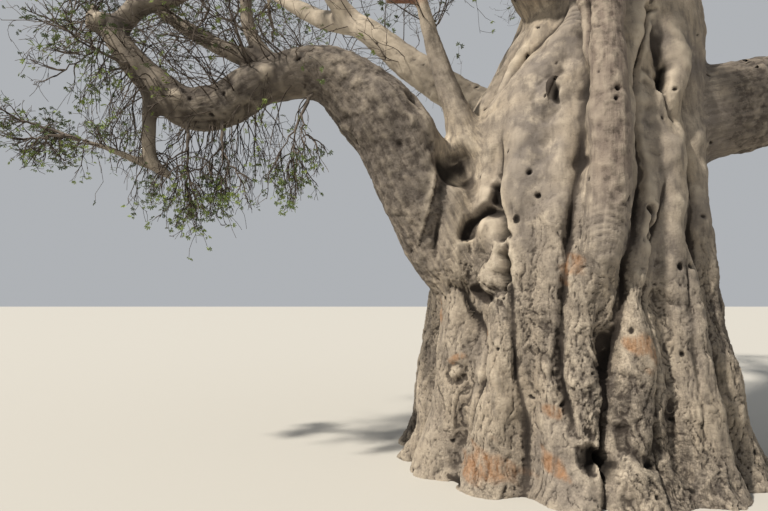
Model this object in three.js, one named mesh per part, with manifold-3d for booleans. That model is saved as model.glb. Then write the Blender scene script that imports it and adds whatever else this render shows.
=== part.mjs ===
// A baobab, in millimetres, +Z up: one swollen, ribbed trunk cut flat at the ground, crooked tapering boughs,
// and a thin crown of twigs with a few leaves. -Y is the side that is seen first, +X is to its right.
import * as THREE from "three";
import Module from "manifold-3d";

const wasm = await Module();
wasm.setup();
const { degToRad, lerp, clamp } = THREE.MathUtils;

// The trunk's spine: where its middle lies at each height, and how far its ribs reach from there.
const spine = [
  { height: 0, x: 0, radius: 1860 },
  { height: 850, x: 0, radius: 1750 },
  { height: 1700, x: 0, radius: 1620 },
  { height: 2600, x: 50, radius: 1510 },
  { height: 3700, x: 150, radius: 1370 },
  { height: 4800, x: 540, radius: 1110 },
  { height: 5600, x: 620, radius: 880 },
  { height: 6100, x: 620, radius: 460 },
];
const trunkTop = 6050;
const trunkRings = 15;
const trunkSides = 48;
const coreRecess = 190; // how far the furrows between the ribs go in
const rootFlare = { height: 420, growth: 0.09 };

// The ribs, which are old stems grown together: azimuth at the ground and at the fork, in degrees from -Y
// towards +X, and their radius there.
const ribs = [
  { foot: -83, fork: -76, width: [190, 150] },
  { foot: -64, fork: -55, width: [330, 230] },
  { foot: -41, fork: -38, width: [330, 260] },
  { foot: -16, fork: -16, width: [440, 330] },
  { foot: 6, fork: 4, width: [330, 250] },
  { foot: 26, fork: 27, width: [320, 250] },
  { foot: 47, fork: 48, width: [300, 240] },
  { foot: 70, fork: 74, width: [360, 260] },
  { foot: 95, fork: 99, width: [310, 240] },
  { foot: 119, fork: 124, width: [400, 300] },
  { foot: 146, fork: 148, width: [330, 260] },
  { foot: 170, fork: 172, width: [380, 280] },
  { foot: -165, fork: -162, width: [320, 250] },
  { foot: -141, fork: -140, width: [390, 290] },
  { foot: -117, fork: -116, width: [300, 240] },
  { foot: -100, fork: -97, width: [260, 200] },
];

// The deep creases between them: half the width at the lips, the depth, and the azimuth at some heights.
const creases = [
  { half: 110, depth: 165, path: [[0, -8], [500, -7.3], [1000, -6.3], [1600, -4.5], [2000, -0.5], [2450, 2.3]] },
  { half: 85, depth: 95, path: [[0, -31.2], [900, -30.6], [1700, -31.5], [2200, -33], [2700, -34], [3300, -36]] },
  { half: 85, depth: 95, path: [[0, 7.4], [700, 8.6], [1200, 10.4], [1800, 15]] },
  { half: 85, depth: 90, path: [[0, -53], [700, -49], [1100, -48], [1500, -52.5], [1900, -58]] },
  { half: 70, depth: 70, path: [[0, 57], [800, 59], [2000, 56], [3200, 58]] },
];
const bossSides = 8;
const creaseFade = 350; // how far above its last height a crease runs out
// Knobs where branches broke off, and hollows: azimuth, height, half width, half height, how far out or in.
const knobs = [
  [-28.5, 3840, 190, 250, 120],
  [-48.5, 1930, 160, 170, 100],
  [-63.8, 300, 260, 280, 90],
  [-24, 450, 280, 400, 60],
];
const hollows = [
  [-40.6, 2030, 105, 280, 240],
  [-10, 370, 150, 150, 120],
  [16, 4050, 110, 320, 140],
  [-24, 3690, 95, 110, 110],
];

// Boughs that the view shows, by a few knots: x, y, z and radius. "pieces" splits one where it bends.
const knottedBoughs = [
  {
    on: "trunk",
    pieces: [["left_bough", 0.56], ["left_arm", 1]],
    knots: [
      [-1100, -380, 1900, 480], [-1680, -500, 2900, 470], [-2190, -590, 3760, 430], [-2780, -600, 4190, 310],
      [-3400, -600, 4110, 265], [-3900, -620, 3830, 240], [-4270, -650, 3810, 215], [-4650, -680, 4120, 170],
      [-4930, -700, 4420, 150], [-5120, -700, 4690, 140], [-5330, -720, 4760, 115],
    ],
  },
  {
    on: "left_arm",
    pieces: [["left_return", 1]],
    knots: [
      [-5050, -700, 4620, 125], [-4780, -680, 4930, 120], [-4430, -620, 5080, 110], [-4080, -550, 5450, 95],
      [-3980, -500, 6100, 80], [-4250, -600, 6950, 55],
    ],
  },
  {
    on: "left_arm",
    pieces: [["left_drop", 1]],
    knots: [
      [-4640, -680, 4080, 95], [-4630, -690, 3580, 78], [-4610, -700, 3290, 74], [-4530, -700, 3130, 78],
      [-4370, -700, 3030, 50],
    ],
  },
  {
    on: "left_drop",
    pieces: [["left_drop_side", 1]],
    knots: [[-4560, -700, 3140, 58], [-4740, -705, 3200, 52], [-5000, -715, 3310, 42], [-5340, -730, 3420, 30]],
  },
  {
    on: "left_bough",
    pieces: [["left_slant", 1]],
    knots: [
      [-3330, -600, 4180, 110], [-3720, -560, 4420, 105], [-4150, -380, 4690, 92], [-4900, -230, 5250, 76],
      [-5750, -300, 6150, 52],
    ],
  },
  {
    on: "left_bough",
    pieces: [["left_upright", 1]],
    knots: [
      [-3250, -600, 4180, 100], [-3600, -520, 4700, 84], [-3680, -430, 5500, 70], [-3300, -350, 6900, 50],
    ],
  },
  {
    on: "trunk",
    pieces: [["crotch_stem", 1]],
    knots: [
      [-800, -380, 2300, 430], [-1060, -460, 3150, 350], [-1310, -540, 3780, 165], [-1590, -570, 4640, 92],
      [-1720, -590, 5200, 66], [-1780, -640, 6100, 48],
    ],
  },
  {
    on: "trunk",
    pieces: [["front_bough", 1]],
    knots: [
      [-110, -1100, 1250, 150], [-100, -1460, 2150, 230], [-60, -1500, 2900, 225], [-20, -1400, 3800, 230],
      [40, -1230, 4900, 225], [150, -1250, 5900, 195], [420, -1800, 7100, 150], [560, -2650, 8500, 95],
    ],
  },
];

// Boughs that the view's edge hides: each leaves its parent at a height or a share of its length, sets out on
// a heading (degrees from -Y towards +X) at a rise, and curves to a second rise while it tapers.
const sweptBoughs = [
  { name: "right_bough", on: "trunk", from: [250, 60, 3720], heading: 86, rise: [12, 42], length: 6000, girth: [640, 190] },
  { name: "rear_left_bough", on: "trunk", from: [250, 200, 4000], heading: -127, rise: [28, 42], length: 7000, girth: [350, 140] },
  { name: "front_left_bough", on: "trunk", from: [0, -100, 4850], heading: -27, rise: [48, 34], length: 5400, girth: [320, 125] },
  { name: "crown_left_bough", on: "trunk", from: [400, -50, 5000], heading: -76, rise: [52, 50], length: 5600, girth: [400, 140] },
  { name: "crown_right_bough", on: "trunk", from: [620, 0, 4900], heading: 68, rise: [52, 44], length: 5600, girth: [400, 140] },
  { name: "crown_top_bough", on: "trunk", from: [550, 150, 5200], heading: -150, rise: [76, 66], length: 5600, girth: [400, 140] },
  { name: "rear_bough", on: "trunk", from: [500, 200, 4700], heading: 172, rise: [46, 36], length: 6400, girth: [430, 150] },
  { name: "rear_right_bough", on: "trunk", from: [500, 200, 4500], heading: 128, rise: [40, 40], length: 6000, girth: [380, 140] },
];
const sideBoughs = [
  { name: "right_bough_front", on: "right_bough", at: 0.5, turn: -52, rise: [26, 38], length: 3300, girth: [230, 85] },
  { name: "right_bough_rear", on: "right_bough", at: 0.68, turn: 48, rise: [30, 40], length: 2600, girth: [190, 80] },
  { name: "rear_left_fork", on: "rear_left_bough", at: 0.55, turn: 55, rise: [50, 46], length: 2900, girth: [200, 80] },
  { name: "crown_left_fork", on: "crown_left_bough", at: 0.52, turn: -50, rise: [42, 50], length: 2700, girth: [190, 80] },
  { name: "crown_right_fork", on: "crown_right_bough", at: 0.5, turn: -52, rise: [40, 50], length: 2900, girth: [190, 80] },
  { name: "crown_top_fork", on: "crown_top_bough", at: 0.55, turn: 175, rise: [48, 56], length: 2500, girth: [190, 80] },
  { name: "rear_bough_fork", on: "rear_bough", at: 0.5, turn: 48, rise: [44, 46], length: 2900, girth: [200, 80] },
  { name: "rear_right_fork", on: "rear_right_bough", at: 0.52, turn: -44, rise: [36, 30], length: 2800, girth: [190, 80] },
  { name: "front_left_fork", on: "front_left_bough", at: 0.55, turn: 52, rise: [34, 44], length: 2500, girth: [160, 75] },
];
const boughSway = 11; // degrees that a swept bough wanders to each side
const boughTaper = 1.15; // above 1 a bough thins faster near its root
const boughSides = 8;
const spurSides = 6;
const boughSteps = 5;
const clearance = 0.3; // between pieces that meet face to face
// A collar's end is looked for between two shares of its bough's length, and set a margin further on.
const collarSearch = { from: 0.04, to: 0.88, steps: 42, margin: 0.02 };
const capsulesPerPiece = 10;

// Broken-off stubs, grown from a bough at a share of its length.
const stubs = [
  { on: "crotch_stem", at: 0.62, heading: -90, rise: -2, length: 330, radius: 62 },
  { on: "left_arm", at: 0.93, heading: -150, rise: 45, length: 240, radius: 75 },
];

// The crown: one mass of twigs on each bough's tip, and some on short spurs along the left bough.
const tipMasses = [
  ["left_return", 1900], ["left_drop_side", 850], ["left_slant", 2000], ["left_upright", 1900],
  ["crotch_stem", 1700], ["front_bough", 2400],
  ...[...sweptBoughs, ...sideBoughs].map(({ name, on }) => [name, on === "trunk" ? 2700 : 2500]),
].map(([on, reach]) => ({ name: on + "_twigs", on, reach }));
const spurMasses = [
  { name: "arm_hanging_twigs", on: "left_arm", at: 0.06, heading: 20, rise: -66, reach: 1050, droop: 0.5 },
  { name: "bend_hanging_twigs", on: "left_bough", at: 0.82, heading: 10, rise: -66, reach: 950, droop: 0.5 },
  { name: "shoulder_hanging_twigs", on: "left_bough", at: 0.36, heading: -30, rise: -60, reach: 1150, droop: 0.7 },
  { name: "arm_front_twigs", on: "left_arm", at: 0.34, heading: -35, rise: 8, reach: 950, droop: 0 },
  { name: "shoulder_top_twigs", on: "left_bough", at: 0.66, heading: -30, rise: 62, reach: 1250, droop: -0.1 },
].map((mass) => ({ ...mass, spur: 150, radius: 38 }));
// A mass's space is a ball on its stem's line; its middle and radius are shares of the mass's reach.
const massSpace = { middle: 0.5, radius: 0.62, betweenMasses: 12, fromLimbs: 14, aboveGround: 60 };
const twigRule = {
  levels: 2, // shoots on shoots
  stemRadius: 0.8, // against the tip that the stem stands on
  stem: 0.3, // the stem's share of a mass's reach
  shorten: 0.86, // each level's length against the one before
  lengthSpread: [0.85, 1.15],
  thin: 0.6,
  thinnest: 12,
  onward: 22, // degrees that a shoot may bend where it carries on
  fork: [32, 66], // degrees between a shoot and the one that bears it
  joint: [0.5, 0.92], // where along a shoot the side ones leave it
  shootsPerJoint: [3, 2],
  tries: 5, // directions tried for a shoot until it keeps to its space
  retryShorter: 0.12, // how much shorter each try is than the one before
};
// A leaf's length is in shares of its mass's reach, and the rest in shares of that length.
const leafBlade = {
  length: [0.15, 0.22],
  width: 0.46,
  thickness: 0.04,
  broadest: 0.5,
  tipAngle: 12,
  sideAngle: [35, 75],
  sidePlace: [0.3, 0.8],
};

const barkLook = { color: 0x9c9184, roughness: 0.85, metalness: 0 };
const twigLook = { color: 0x6f7350, roughness: 0.75, metalness: 0 };

// A seeded source of numbers from 0 to 1.
function seeded(seed) {
  let state = seed >>> 0;
  return () => {
    state = (state + 0x6d2b79f5) >>> 0;
    let mixed = Math.imul(state ^ (state >>> 15), 1 | state);
    mixed = (mixed + Math.imul(mixed ^ (mixed >>> 7), 61 | mixed)) ^ mixed;
    return ((mixed ^ (mixed >>> 14)) >>> 0) / 4294967296;
  };
}
const between = (random, [low, high]) => lerp(low, high, random());
const spaced = (from, to, steps) => Array.from({ length: steps + 1 }, (_, i) => lerp(from, to, i / steps));

function headingVector(heading, rise) {
  const [a, e] = [degToRad(heading), degToRad(rise)];
  return new THREE.Vector3(Math.sin(a) * Math.cos(e), -Math.cos(a) * Math.cos(e), Math.sin(e));
}

function solidFrom(positions, indices) {
  return new wasm.Manifold(
    new wasm.Mesh({
      numProp: 3,
      vertProperties: Float32Array.from(positions),
      triVerts: Uint32Array.from(indices),
    }),
  );
}

// A closed solid through rings of equal count, each capped from its own middle.
function ringSolid(rings, middles) {
  const count = rings[0].length;
  const last = rings.length - 1;
  const positions = rings.flat().flatMap((p) => [p.x, p.y, p.z]);
  const indices = [];
  for (let i = 0; i < last; i++)
    for (let j = 0; j < count; j++) {
      const next = (j + 1) % count;
      const [a, b, c, d] = [i * count + j, i * count + next, (i + 1) * count + next, (i + 1) * count + j];
      indices.push(a, b, c, a, c, d);
    }
  for (const [ring, turned] of [[0, true], [last, false]]) {
    const middle = positions.length / 3;
    positions.push(middles[ring].x, middles[ring].y, middles[ring].z);
    for (let j = 0; j < count; j++) {
      const [a, b] = [ring * count + j, ring * count + ((j + 1) % count)];
      indices.push(...(turned ? [middle, b, a] : [middle, a, b]));
    }
  }
  return solidFrom(positions, indices);
}

function spineAt(height) {
  const i = clamp(spine.findIndex((s) => s.height > height), 1, spine.length - 1);
  const [low, high] = [spine[i - 1], spine[i]];
  const share = clamp((height - low.height) / (high.height - low.height), 0, 1);
  const flare = 1 + rootFlare.growth * Math.max(0, 1 - height / rootFlare.height) ** 2;
  return { x: lerp(low.x, high.x, share), radius: lerp(low.radius, high.radius, share) * flare };
}

// How far the trunk reaches from its spine at an azimuth: the furthest rib that the ray leaves, or the core.
function trunkReach(azimuth, height) {
  const { radius } = spineAt(height);
  const share = height / trunkTop;
  let reach = radius - coreRecess * Math.min(1, radius / spine[0].radius + 0.1);
  for (const rib of ribs) {
    const width = Math.min(lerp(rib.width[0], rib.width[1], share), radius * 0.6);
    const offset = degToRad(azimuth - lerp(rib.foot, rib.fork, share));
    const middle = radius - width;
    const across = middle * Math.sin(offset);
    if (Math.cos(offset) > 0 && Math.abs(across) < width)
      reach = Math.max(reach, middle * Math.cos(offset) + Math.sqrt(width ** 2 - across ** 2));
  }
  return reach;
}

function creaseAzimuth({ path }, height) {
  const i = clamp(path.findIndex(([top]) => top > height), 1, path.length - 1);
  const [[low, from], [high, to]] = [path[i - 1], path[i]];
  return lerp(from, to, clamp((height - low) / (high - low), 0, 1));
}

// The trunk's columns: even ones, and three for each crease, which follow it up the trunk. The even ones between
// two creases are spread out between them.
function trunkColumns(height) {
  const { radius } = spineAt(height);
  const anchors = creases
    .map((crease) => {
      const half = THREE.MathUtils.radToDeg(crease.half / radius);
      const fade = clamp(1 - (height - crease.path.at(-1)[0]) / creaseFade, 0, 1);
      return { nominal: crease.path[0][1], azimuth: creaseAzimuth(crease, height), half, depth: crease.depth * fade };
    })
    .sort((a, b) => a.nominal - b.nominal);
  const columns = [];
  anchors.forEach((anchor, i) => {
    const next = anchors[(i + 1) % anchors.length];
    const turn = i === anchors.length - 1 ? 360 : 0;
    const steps = Math.max(1, Math.round((next.nominal + turn - anchor.nominal) / (360 / trunkSides)) - 1);
    columns.push({ azimuth: anchor.azimuth, depth: anchor.depth });
    spaced(anchor.azimuth + anchor.half, next.azimuth + turn - next.half, steps).forEach((azimuth) =>
      columns.push({ azimuth, depth: 0 }),
    );
  });
  return columns;
}

// A low ellipsoid on the trunk's surface, which stands out of it or goes into it by its depth.
function boss([azimuth, height, halfWidth, halfHeight, depth]) {
  const { x } = spineAt(height);
  const middle = headingVector(azimuth, 0).multiplyScalar(trunkReach(azimuth, height));
  return wasm.Manifold.sphere(1, bossSides)
    .scale([halfWidth, depth, halfHeight])
    .rotate([0, 0, azimuth])
    .translate([middle.x + x, middle.y, height]);
}

function trunkCore() {
  const rings = [];
  const middles = [];
  for (let i = 0; i <= trunkRings; i++) {
    const height = trunkTop * (i / trunkRings) ** 1.08;
    const { x } = spineAt(height);
    middles.push(new THREE.Vector3(x, 0, height));
    rings.push(
      trunkColumns(height).map(({ azimuth, depth }) =>
        headingVector(azimuth, 0)
          .multiplyScalar(trunkReach(azimuth, height) - depth)
          .add(middles[i]),
      ),
    );
  }
  return wasm.Manifold.union([ringSolid(rings, middles), ...knobs.map(boss)]);
}

// A limb's centreline as a curve, with a radius along it.
function limbFromKnots(knots) {
  const curve = new THREE.CatmullRomCurve3(knots.map(([x, y, z]) => new THREE.Vector3(x, y, z)));
  const radiusAt = (share) => {
    const place = share * (knots.length - 1);
    const i = Math.min(Math.floor(place), knots.length - 2);
    return lerp(knots[i][3], knots[i + 1][3], place - i);
  };
  return { curve, radiusAt };
}

function sweptKnots({ from, heading, rise, length, girth }) {
  const point = from.clone();
  return Array.from({ length: boughSteps + 1 }, (_, i) => {
    const share = i / boughSteps;
    const knot = [point.x, point.y, point.z, girth[1] + (girth[0] - girth[1]) * (1 - share) ** boughTaper];
    const sway = boughSway * Math.sin(9 * share + heading);
    point.addScaledVector(
      headingVector(heading + 1.6 * sway, lerp(rise[0], rise[1], share) + sway),
      length / boughSteps,
    );
    return knot;
  });
}

// Rings square to the centreline, turned as little as possible from one to the next.
function limbRings({ curve, radiusAt }, shares, sides) {
  const rings = [];
  const middles = [];
  let across = null;
  for (const share of shares) {
    const along = curve.getTangent(share);
    across = across ?? new THREE.Vector3(along.z, along.x, along.y);
    across.addScaledVector(along, -across.dot(along)).normalize();
    const side = new THREE.Vector3().crossVectors(along, across);
    const middle = curve.getPoint(share);
    middles.push(middle);
    rings.push(
      Array.from({ length: sides }, (_, j) => {
        const angle = (2 * Math.PI * j) / sides;
        return middle
          .clone()
          .addScaledVector(across, radiusAt(share) * Math.cos(angle))
          .addScaledVector(side, radiusAt(share) * Math.sin(angle));
      }),
    );
  }
  return { rings, middles };
}

function slice({ rings, middles }, from, to, gap) {
  const cutRings = rings.slice(from, to + 1).map((ring) => ring.map((p) => p.clone()));
  const cutMiddles = middles.slice(from, to + 1).map((p) => p.clone());
  const push = cutMiddles[1].clone().sub(cutMiddles[0]).normalize().multiplyScalar(gap);
  [...cutRings[0], cutMiddles[0]].forEach((p) => p.add(push));
  return ringSolid(cutRings, cutMiddles);
}

// The limbs' shapes: solids by node name, and each limb's curve for what grows from it.
const wood = { trunk: [trunkCore()] };
const limbs = {};
const capsules = []; // every limb as short straight lengths, for the twigs to keep clear of

function rememberCapsules(name, limb, from, to) {
  const stops = spaced(from, to, capsulesPerPiece);
  for (let i = 0; i < capsulesPerPiece; i++)
    capsules.push({
      name,
      line: new THREE.Line3(limb.curve.getPoint(stops[i]), limb.curve.getPoint(stops[i + 1])),
      radius: Math.max(limb.radiusAt(stops[i]), limb.radiusAt(stops[i + 1])),
    });
}

const tube = (limb, from) => slice(limbRings(limb, spaced(from, 1, boughSteps * 2), boughSides), 0, boughSteps * 2, 0);

// Boughs that grow from one parent. Each one's collar, which is part of the parent, ends where the rest of the
// bough is clear of the parent and of its sisters.
function addBoughs(on, specs) {
  const whole = specs.map(({ limb }) => tube(limb, 0));
  const parent = wasm.Manifold.union(wood[on]);
  specs.forEach(({ limb, pieces }, i) => {
    const others = wasm.Manifold.union([parent, ...whole.filter((_, j) => j !== i)]);
    const { from, to, steps, margin } = collarSearch;
    const end = spaced(from, to, steps).find((share) => others.intersect(tube(limb, share)).isEmpty());
    addLimb(on, limb, end + margin, pieces);
  });
}

function addLimb(on, limb, collar, pieces) {
  const ends = [0, collar, ...pieces.map(([, end]) => end)];
  const shares = [0];
  const cuts = [0];
  for (let i = 1; i < ends.length; i++) {
    const steps = Math.max(1, Math.round((ends[i] - ends[i - 1]) * limb.curve.points.length));
    shares.push(...spaced(ends[i - 1], ends[i], steps).slice(1));
    cuts.push(shares.length - 1);
  }
  const sides = limb.radiusAt(0) > 90 ? boughSides : spurSides;
  const made = limbRings(limb, shares, sides);
  wood[on].push(slice(made, 0, cuts[1], 0));
  pieces.forEach(([name, end], i) => {
    wood[name] = [slice(made, cuts[i + 1], cuts[i + 2], clearance)];
    const start = ends[i + 1];
    limbs[name] = {
      pointAt: (share) => limb.curve.getPoint(lerp(start, end, share)),
      tangentAt: (share) => limb.curve.getTangent(lerp(start, end, share)),
      radiusAt: (share) => limb.radiusAt(lerp(start, end, share)),
    };
    rememberCapsules(name, limb, start, end);
  });
  rememberCapsules(on, limb, 0, collar);
}

// A swept bough as a limb: from its own place on the trunk, or from a share of its parent's length.
function sweptLimb(spec) {
  if (spec.from) return limbFromKnots(sweptKnots({ ...spec, from: new THREE.Vector3(...spec.from) }));
  const along = limbs[spec.on].tangentAt(spec.at);
  const parentHeading = THREE.MathUtils.radToDeg(Math.atan2(along.x, -along.y));
  return limbFromKnots(
    sweptKnots({ ...spec, from: limbs[spec.on].pointAt(spec.at), heading: parentHeading + spec.turn }),
  );
}

// A short straight shoot out of a bough: where its flat end lies, and which way it points.
function addSpur({ on, at, heading, rise, radius }, length) {
  const root = limbs[on].pointAt(at);
  const along = headingVector(heading, rise);
  const reach = limbs[on].radiusAt(at) + length;
  const end = root.clone().addScaledVector(along, reach);
  const limb = limbFromKnots([root, end].map((p) => [p.x, p.y, p.z, radius]));
  wood[on].push(slice(limbRings(limb, [0, 1], spurSides), 0, 1, 0));
  return { point: end, along, radius };
}

const allBoughs = [...knottedBoughs, ...sweptBoughs, ...sideBoughs];
for (const on of new Set(allBoughs.map((bough) => bough.on)))
  addBoughs(
    on,
    allBoughs
      .filter((bough) => bough.on === on)
      .map((bough) => ({
        limb: bough.knots ? limbFromKnots(bough.knots) : sweptLimb(bough),
        pieces: bough.pieces ?? [[bough.name, 1]],
      })),
  );
for (const stub of stubs) addSpur(stub, stub.length);

// Where each mass starts: on a bough's flat tip, or on a spur's.
const masses = [
  ...tipMasses.map((mass) => {
    const limb = limbs[mass.on];
    return { droop: 0.05, ...mass, point: limb.pointAt(1), along: limb.tangentAt(1), radius: limb.radiusAt(1) };
  }),
  ...spurMasses.map((mass) => ({ ...mass, ...addSpur(mass, mass.spur) })),
];
for (const mass of masses) {
  mass.centre = mass.point.clone().addScaledVector(mass.along, mass.reach * massSpace.middle);
  mass.point = mass.point.clone().addScaledVector(mass.along, clearance);
}

// A mass's own space: a ball round its middle, on its own side of the half-way planes to the other masses.
function inOwnSpace(mass, point) {
  if (point.distanceTo(mass.centre) > mass.reach * massSpace.radius || point.z < massSpace.aboveGround) return false;
  return masses.every((other) => {
    if (other === mass) return true;
    const gap = other.centre.distanceTo(mass.centre);
    const nearer = (point.distanceToSquared(other.centre) - point.distanceToSquared(mass.centre)) / (2 * gap);
    return nearer > massSpace.betweenMasses;
  });
}

const nearest = new THREE.Vector3();
function clearOfLimbs(mass, points, room, isStem) {
  return capsules.every(({ name, line, radius }) =>
    points.every((point) => {
      if (isStem && name === mass.on) return true;
      line.closestPointToPoint(point, true, nearest);
      return nearest.distanceTo(point) > radius + room + massSpace.fromLimbs;
    }),
  ) && points.every((p) => p.z > trunkTop || Math.hypot(p.x - spineAt(p.z).x, p.y) > spineAt(p.z).radius + room);
}

// A three-sided shoot through its joints, which ends in a leaf when it has one.
function shootSolid(joints, leaf) {
  const rings = [];
  let across = null;
  joints.forEach(({ point, radius }, i) => {
    const [before, after] = [joints[Math.max(i - 1, 0)], joints[Math.min(i + 1, joints.length - 1)]];
    const along = after.point.clone().sub(before.point).normalize();
    across = across ?? new THREE.Vector3(along.z, along.x, along.y);
    across.addScaledVector(along, -across.dot(along)).normalize();
    const side = new THREE.Vector3().crossVectors(along, across);
    rings.push(
      Array.from({ length: 3 }, (_, j) => {
        const angle = (2 * Math.PI * j) / 3;
        return point
          .clone()
          .addScaledVector(across, radius * Math.cos(angle))
          .addScaledVector(side, radius * Math.sin(angle));
      }),
    );
  });
  if (!leaf) return ringSolid(rings, joints.map(({ point }) => point));
  const [, tip, left, right, over, under] = leaf;
  // The blade's broadest place has the same three corners as the shoot, in the order that twists it least.
  const corners = [left, right, over.clone().addScaledVector(over.clone().sub(under), 0.5)];
  const turns = [0, 1, 2].map((turn) => [0, 1, 2].map((j) => corners[(j + turn) % 3]));
  const mirrored = turns.map(([a, b, c]) => [a, c, b]);
  const end = rings.at(-1);
  const facing = (ring) => new THREE.Triangle(...ring).getNormal(new THREE.Vector3());
  const fit = (ring) => ring.reduce((sum, p, j) => sum + p.distanceTo(end[j]), 0);
  const broad = [...turns, ...mirrored]
    .filter((ring) => facing(ring).dot(facing(end)) > 0)
    .reduce((best, ring) => (fit(ring) < fit(best) ? ring : best));
  rings.push(broad);
  const positions = [...rings.flat(), tip].flatMap((p) => [p.x, p.y, p.z]);
  const indices = [0, 2, 1];
  const last = rings.length - 1;
  for (let j = 0; j < 3; j++) {
    const next = (j + 1) % 3;
    for (let i = 0; i < last; i++) {
      const [a, b, c, d] = [i * 3 + j, i * 3 + next, i * 3 + 3 + next, i * 3 + 3 + j];
      indices.push(a, b, c, a, c, d);
    }
    indices.push(last * 3 + j, last * 3 + next, last * 3 + 3);
  }
  return solidFrom(positions, indices);
}

// A leaf spray as one eight-faced blade: its root, its tip, its two edges and its two faces.
function leafPoints(root, along, flat, length) {
  const edge = new THREE.Vector3().crossVectors(along, flat).normalize();
  const middle = root.clone().addScaledVector(along, length * leafBlade.broadest);
  const half = (length * leafBlade.width) / 2;
  const thick = (length * leafBlade.thickness) / 2;
  return [
    root,
    root.clone().addScaledVector(along, length),
    middle.clone().addScaledVector(edge, half),
    middle.clone().addScaledVector(edge, -half),
    middle.clone().addScaledVector(flat, thick),
    middle.clone().addScaledVector(flat, -thick),
  ];
}
const leafFaces = [0, 2, 4, 0, 4, 3, 0, 3, 5, 0, 5, 2, 1, 4, 2, 1, 3, 4, 1, 5, 3, 1, 2, 5];
const leafSolid = (points) => solidFrom(points.flatMap((p) => [p.x, p.y, p.z]), leafFaces);

// One direction turned away from another by an angle, at a place round it.
function turnedFrom(along, angle, round) {
  const across = new THREE.Vector3(along.z, along.x, along.y);
  across.addScaledVector(along, -across.dot(along)).normalize();
  const side = new THREE.Vector3().crossVectors(along, across);
  return along
    .clone()
    .multiplyScalar(Math.cos(degToRad(angle)))
    .addScaledVector(across, Math.sin(degToRad(angle)) * Math.cos(round))
    .addScaledVector(side, Math.sin(degToRad(angle)) * Math.sin(round));
}

// A leaf at a root, turned away from its shoot by an angle; none where it would leave its mass's space.
function leafAt(mass, random, root, along, angle) {
  const out = turnedFrom(along, angle, 2 * Math.PI * random());
  const flat = turnedFrom(out, 90, 2 * Math.PI * random());
  const points = leafPoints(root, out, flat, mass.reach * between(random, leafBlade.length));
  const fits = points.slice(1).every((p) => inOwnSpace(mass, p)) && clearOfLimbs(mass, points, 0, false);
  return fits ? points : null;
}

function growMass(mass, random) {
  const solids = [];
  const endShoot = (joints, along) => {
    solids.push(shootSolid(joints, leafAt(mass, random, joints.at(-1).point, along, leafBlade.tipAngle)));
    return true;
  };
  const grow = (joints, along, length, level) => {
    const { point: from, radius } = joints.at(-1);
    const to = from.clone().addScaledVector(along, length);
    const thinner = Math.max(radius * twigRule.thin, twigRule.thinnest);
    const middle = from.clone().lerp(to, 0.5);
    if (!inOwnSpace(mass, to) || !clearOfLimbs(mass, [middle, to], radius, level === 0)) return false;
    joints.push({ point: to, radius: thinner });
    if (level === twigRule.levels) {
      const root = from.clone().lerp(to, between(random, leafBlade.sidePlace));
      const leaf = leafAt(mass, random, root, along, between(random, leafBlade.sideAngle));
      if (leaf) solids.push(leafSolid(leaf));
      return endShoot(joints, along);
    }
    const turn = 2 * Math.PI * random();
    const shoots = twigRule.shootsPerJoint[level];
    // The first shoot carries this one on, and the others leave it from the side.
    for (let i = shoots - 1; i >= 0; i--) {
      const joint = from.clone().lerp(to, between(random, twigRule.joint));
      let grown = false;
      for (let attempt = 0; attempt < twigRule.tries && !grown; attempt++) {
        const angle = i === 0 ? twigRule.onward * random() : between(random, twigRule.fork);
        const out = turnedFrom(along, angle, turn + ((i + attempt * 0.37) * 2 * Math.PI) / shoots + 0.6 * random());
        out.z -= mass.droop;
        const shorter = between(random, twigRule.lengthSpread) * (1 - twigRule.retryShorter * attempt);
        const start = i === 0 ? joints : [{ point: joint, radius: thinner }];
        grown = grow(start, out.normalize(), length * twigRule.shorten * shorter, level + 1);
      }
      if (i === 0 && !grown) endShoot(joints, along);
    }
    return true;
  };
  const stem = [{ point: mass.point, radius: mass.radius * twigRule.stemRadius }];
  grow(stem, mass.along, mass.reach * twigRule.stem, 0);
  // A twig that reaches nothing else would be a loose scrap, so only the body with the stem is kept.
  const bodies = wasm.Manifold.union(solids).decompose();
  return bodies.reduce((best, body) => (body.volume() > best.volume() ? body : best));
}

function meshOf(name, solid, look) {
  const { vertProperties, triVerts } = solid.getMesh();
  const geometry = new THREE.BufferGeometry()
    .setAttribute("position", new THREE.BufferAttribute(Float32Array.from(vertProperties), 3))
    .setIndex(new THREE.BufferAttribute(Uint32Array.from(triVerts), 1));
  geometry.computeVertexNormals();
  const mesh = new THREE.Mesh(geometry, new THREE.MeshStandardMaterial({ ...look, flatShading: true }));
  mesh.name = name;
  return mesh;
}

const tree = new THREE.Group();
for (const [name, solids] of Object.entries(wood)) {
  const whole = wasm.Manifold.union(solids);
  tree.add(meshOf(name, name === "trunk" ? whole.subtract(wasm.Manifold.union(hollows.map(boss))) : whole, barkLook));
}
masses.forEach((mass, i) => tree.add(meshOf(mass.name, growMass(mass, seeded(101 + 17 * i)), twigLook)));

export default tree;
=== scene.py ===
# Baobab in the dry season: one swollen, ribbed trunk of stems grown together, crooked tapering boughs, and
# a thin crown of mostly bare twigs with small leaves. Metres, Z up. -Y is the side that is seen first, and
# +X is to its right.
import math

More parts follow.
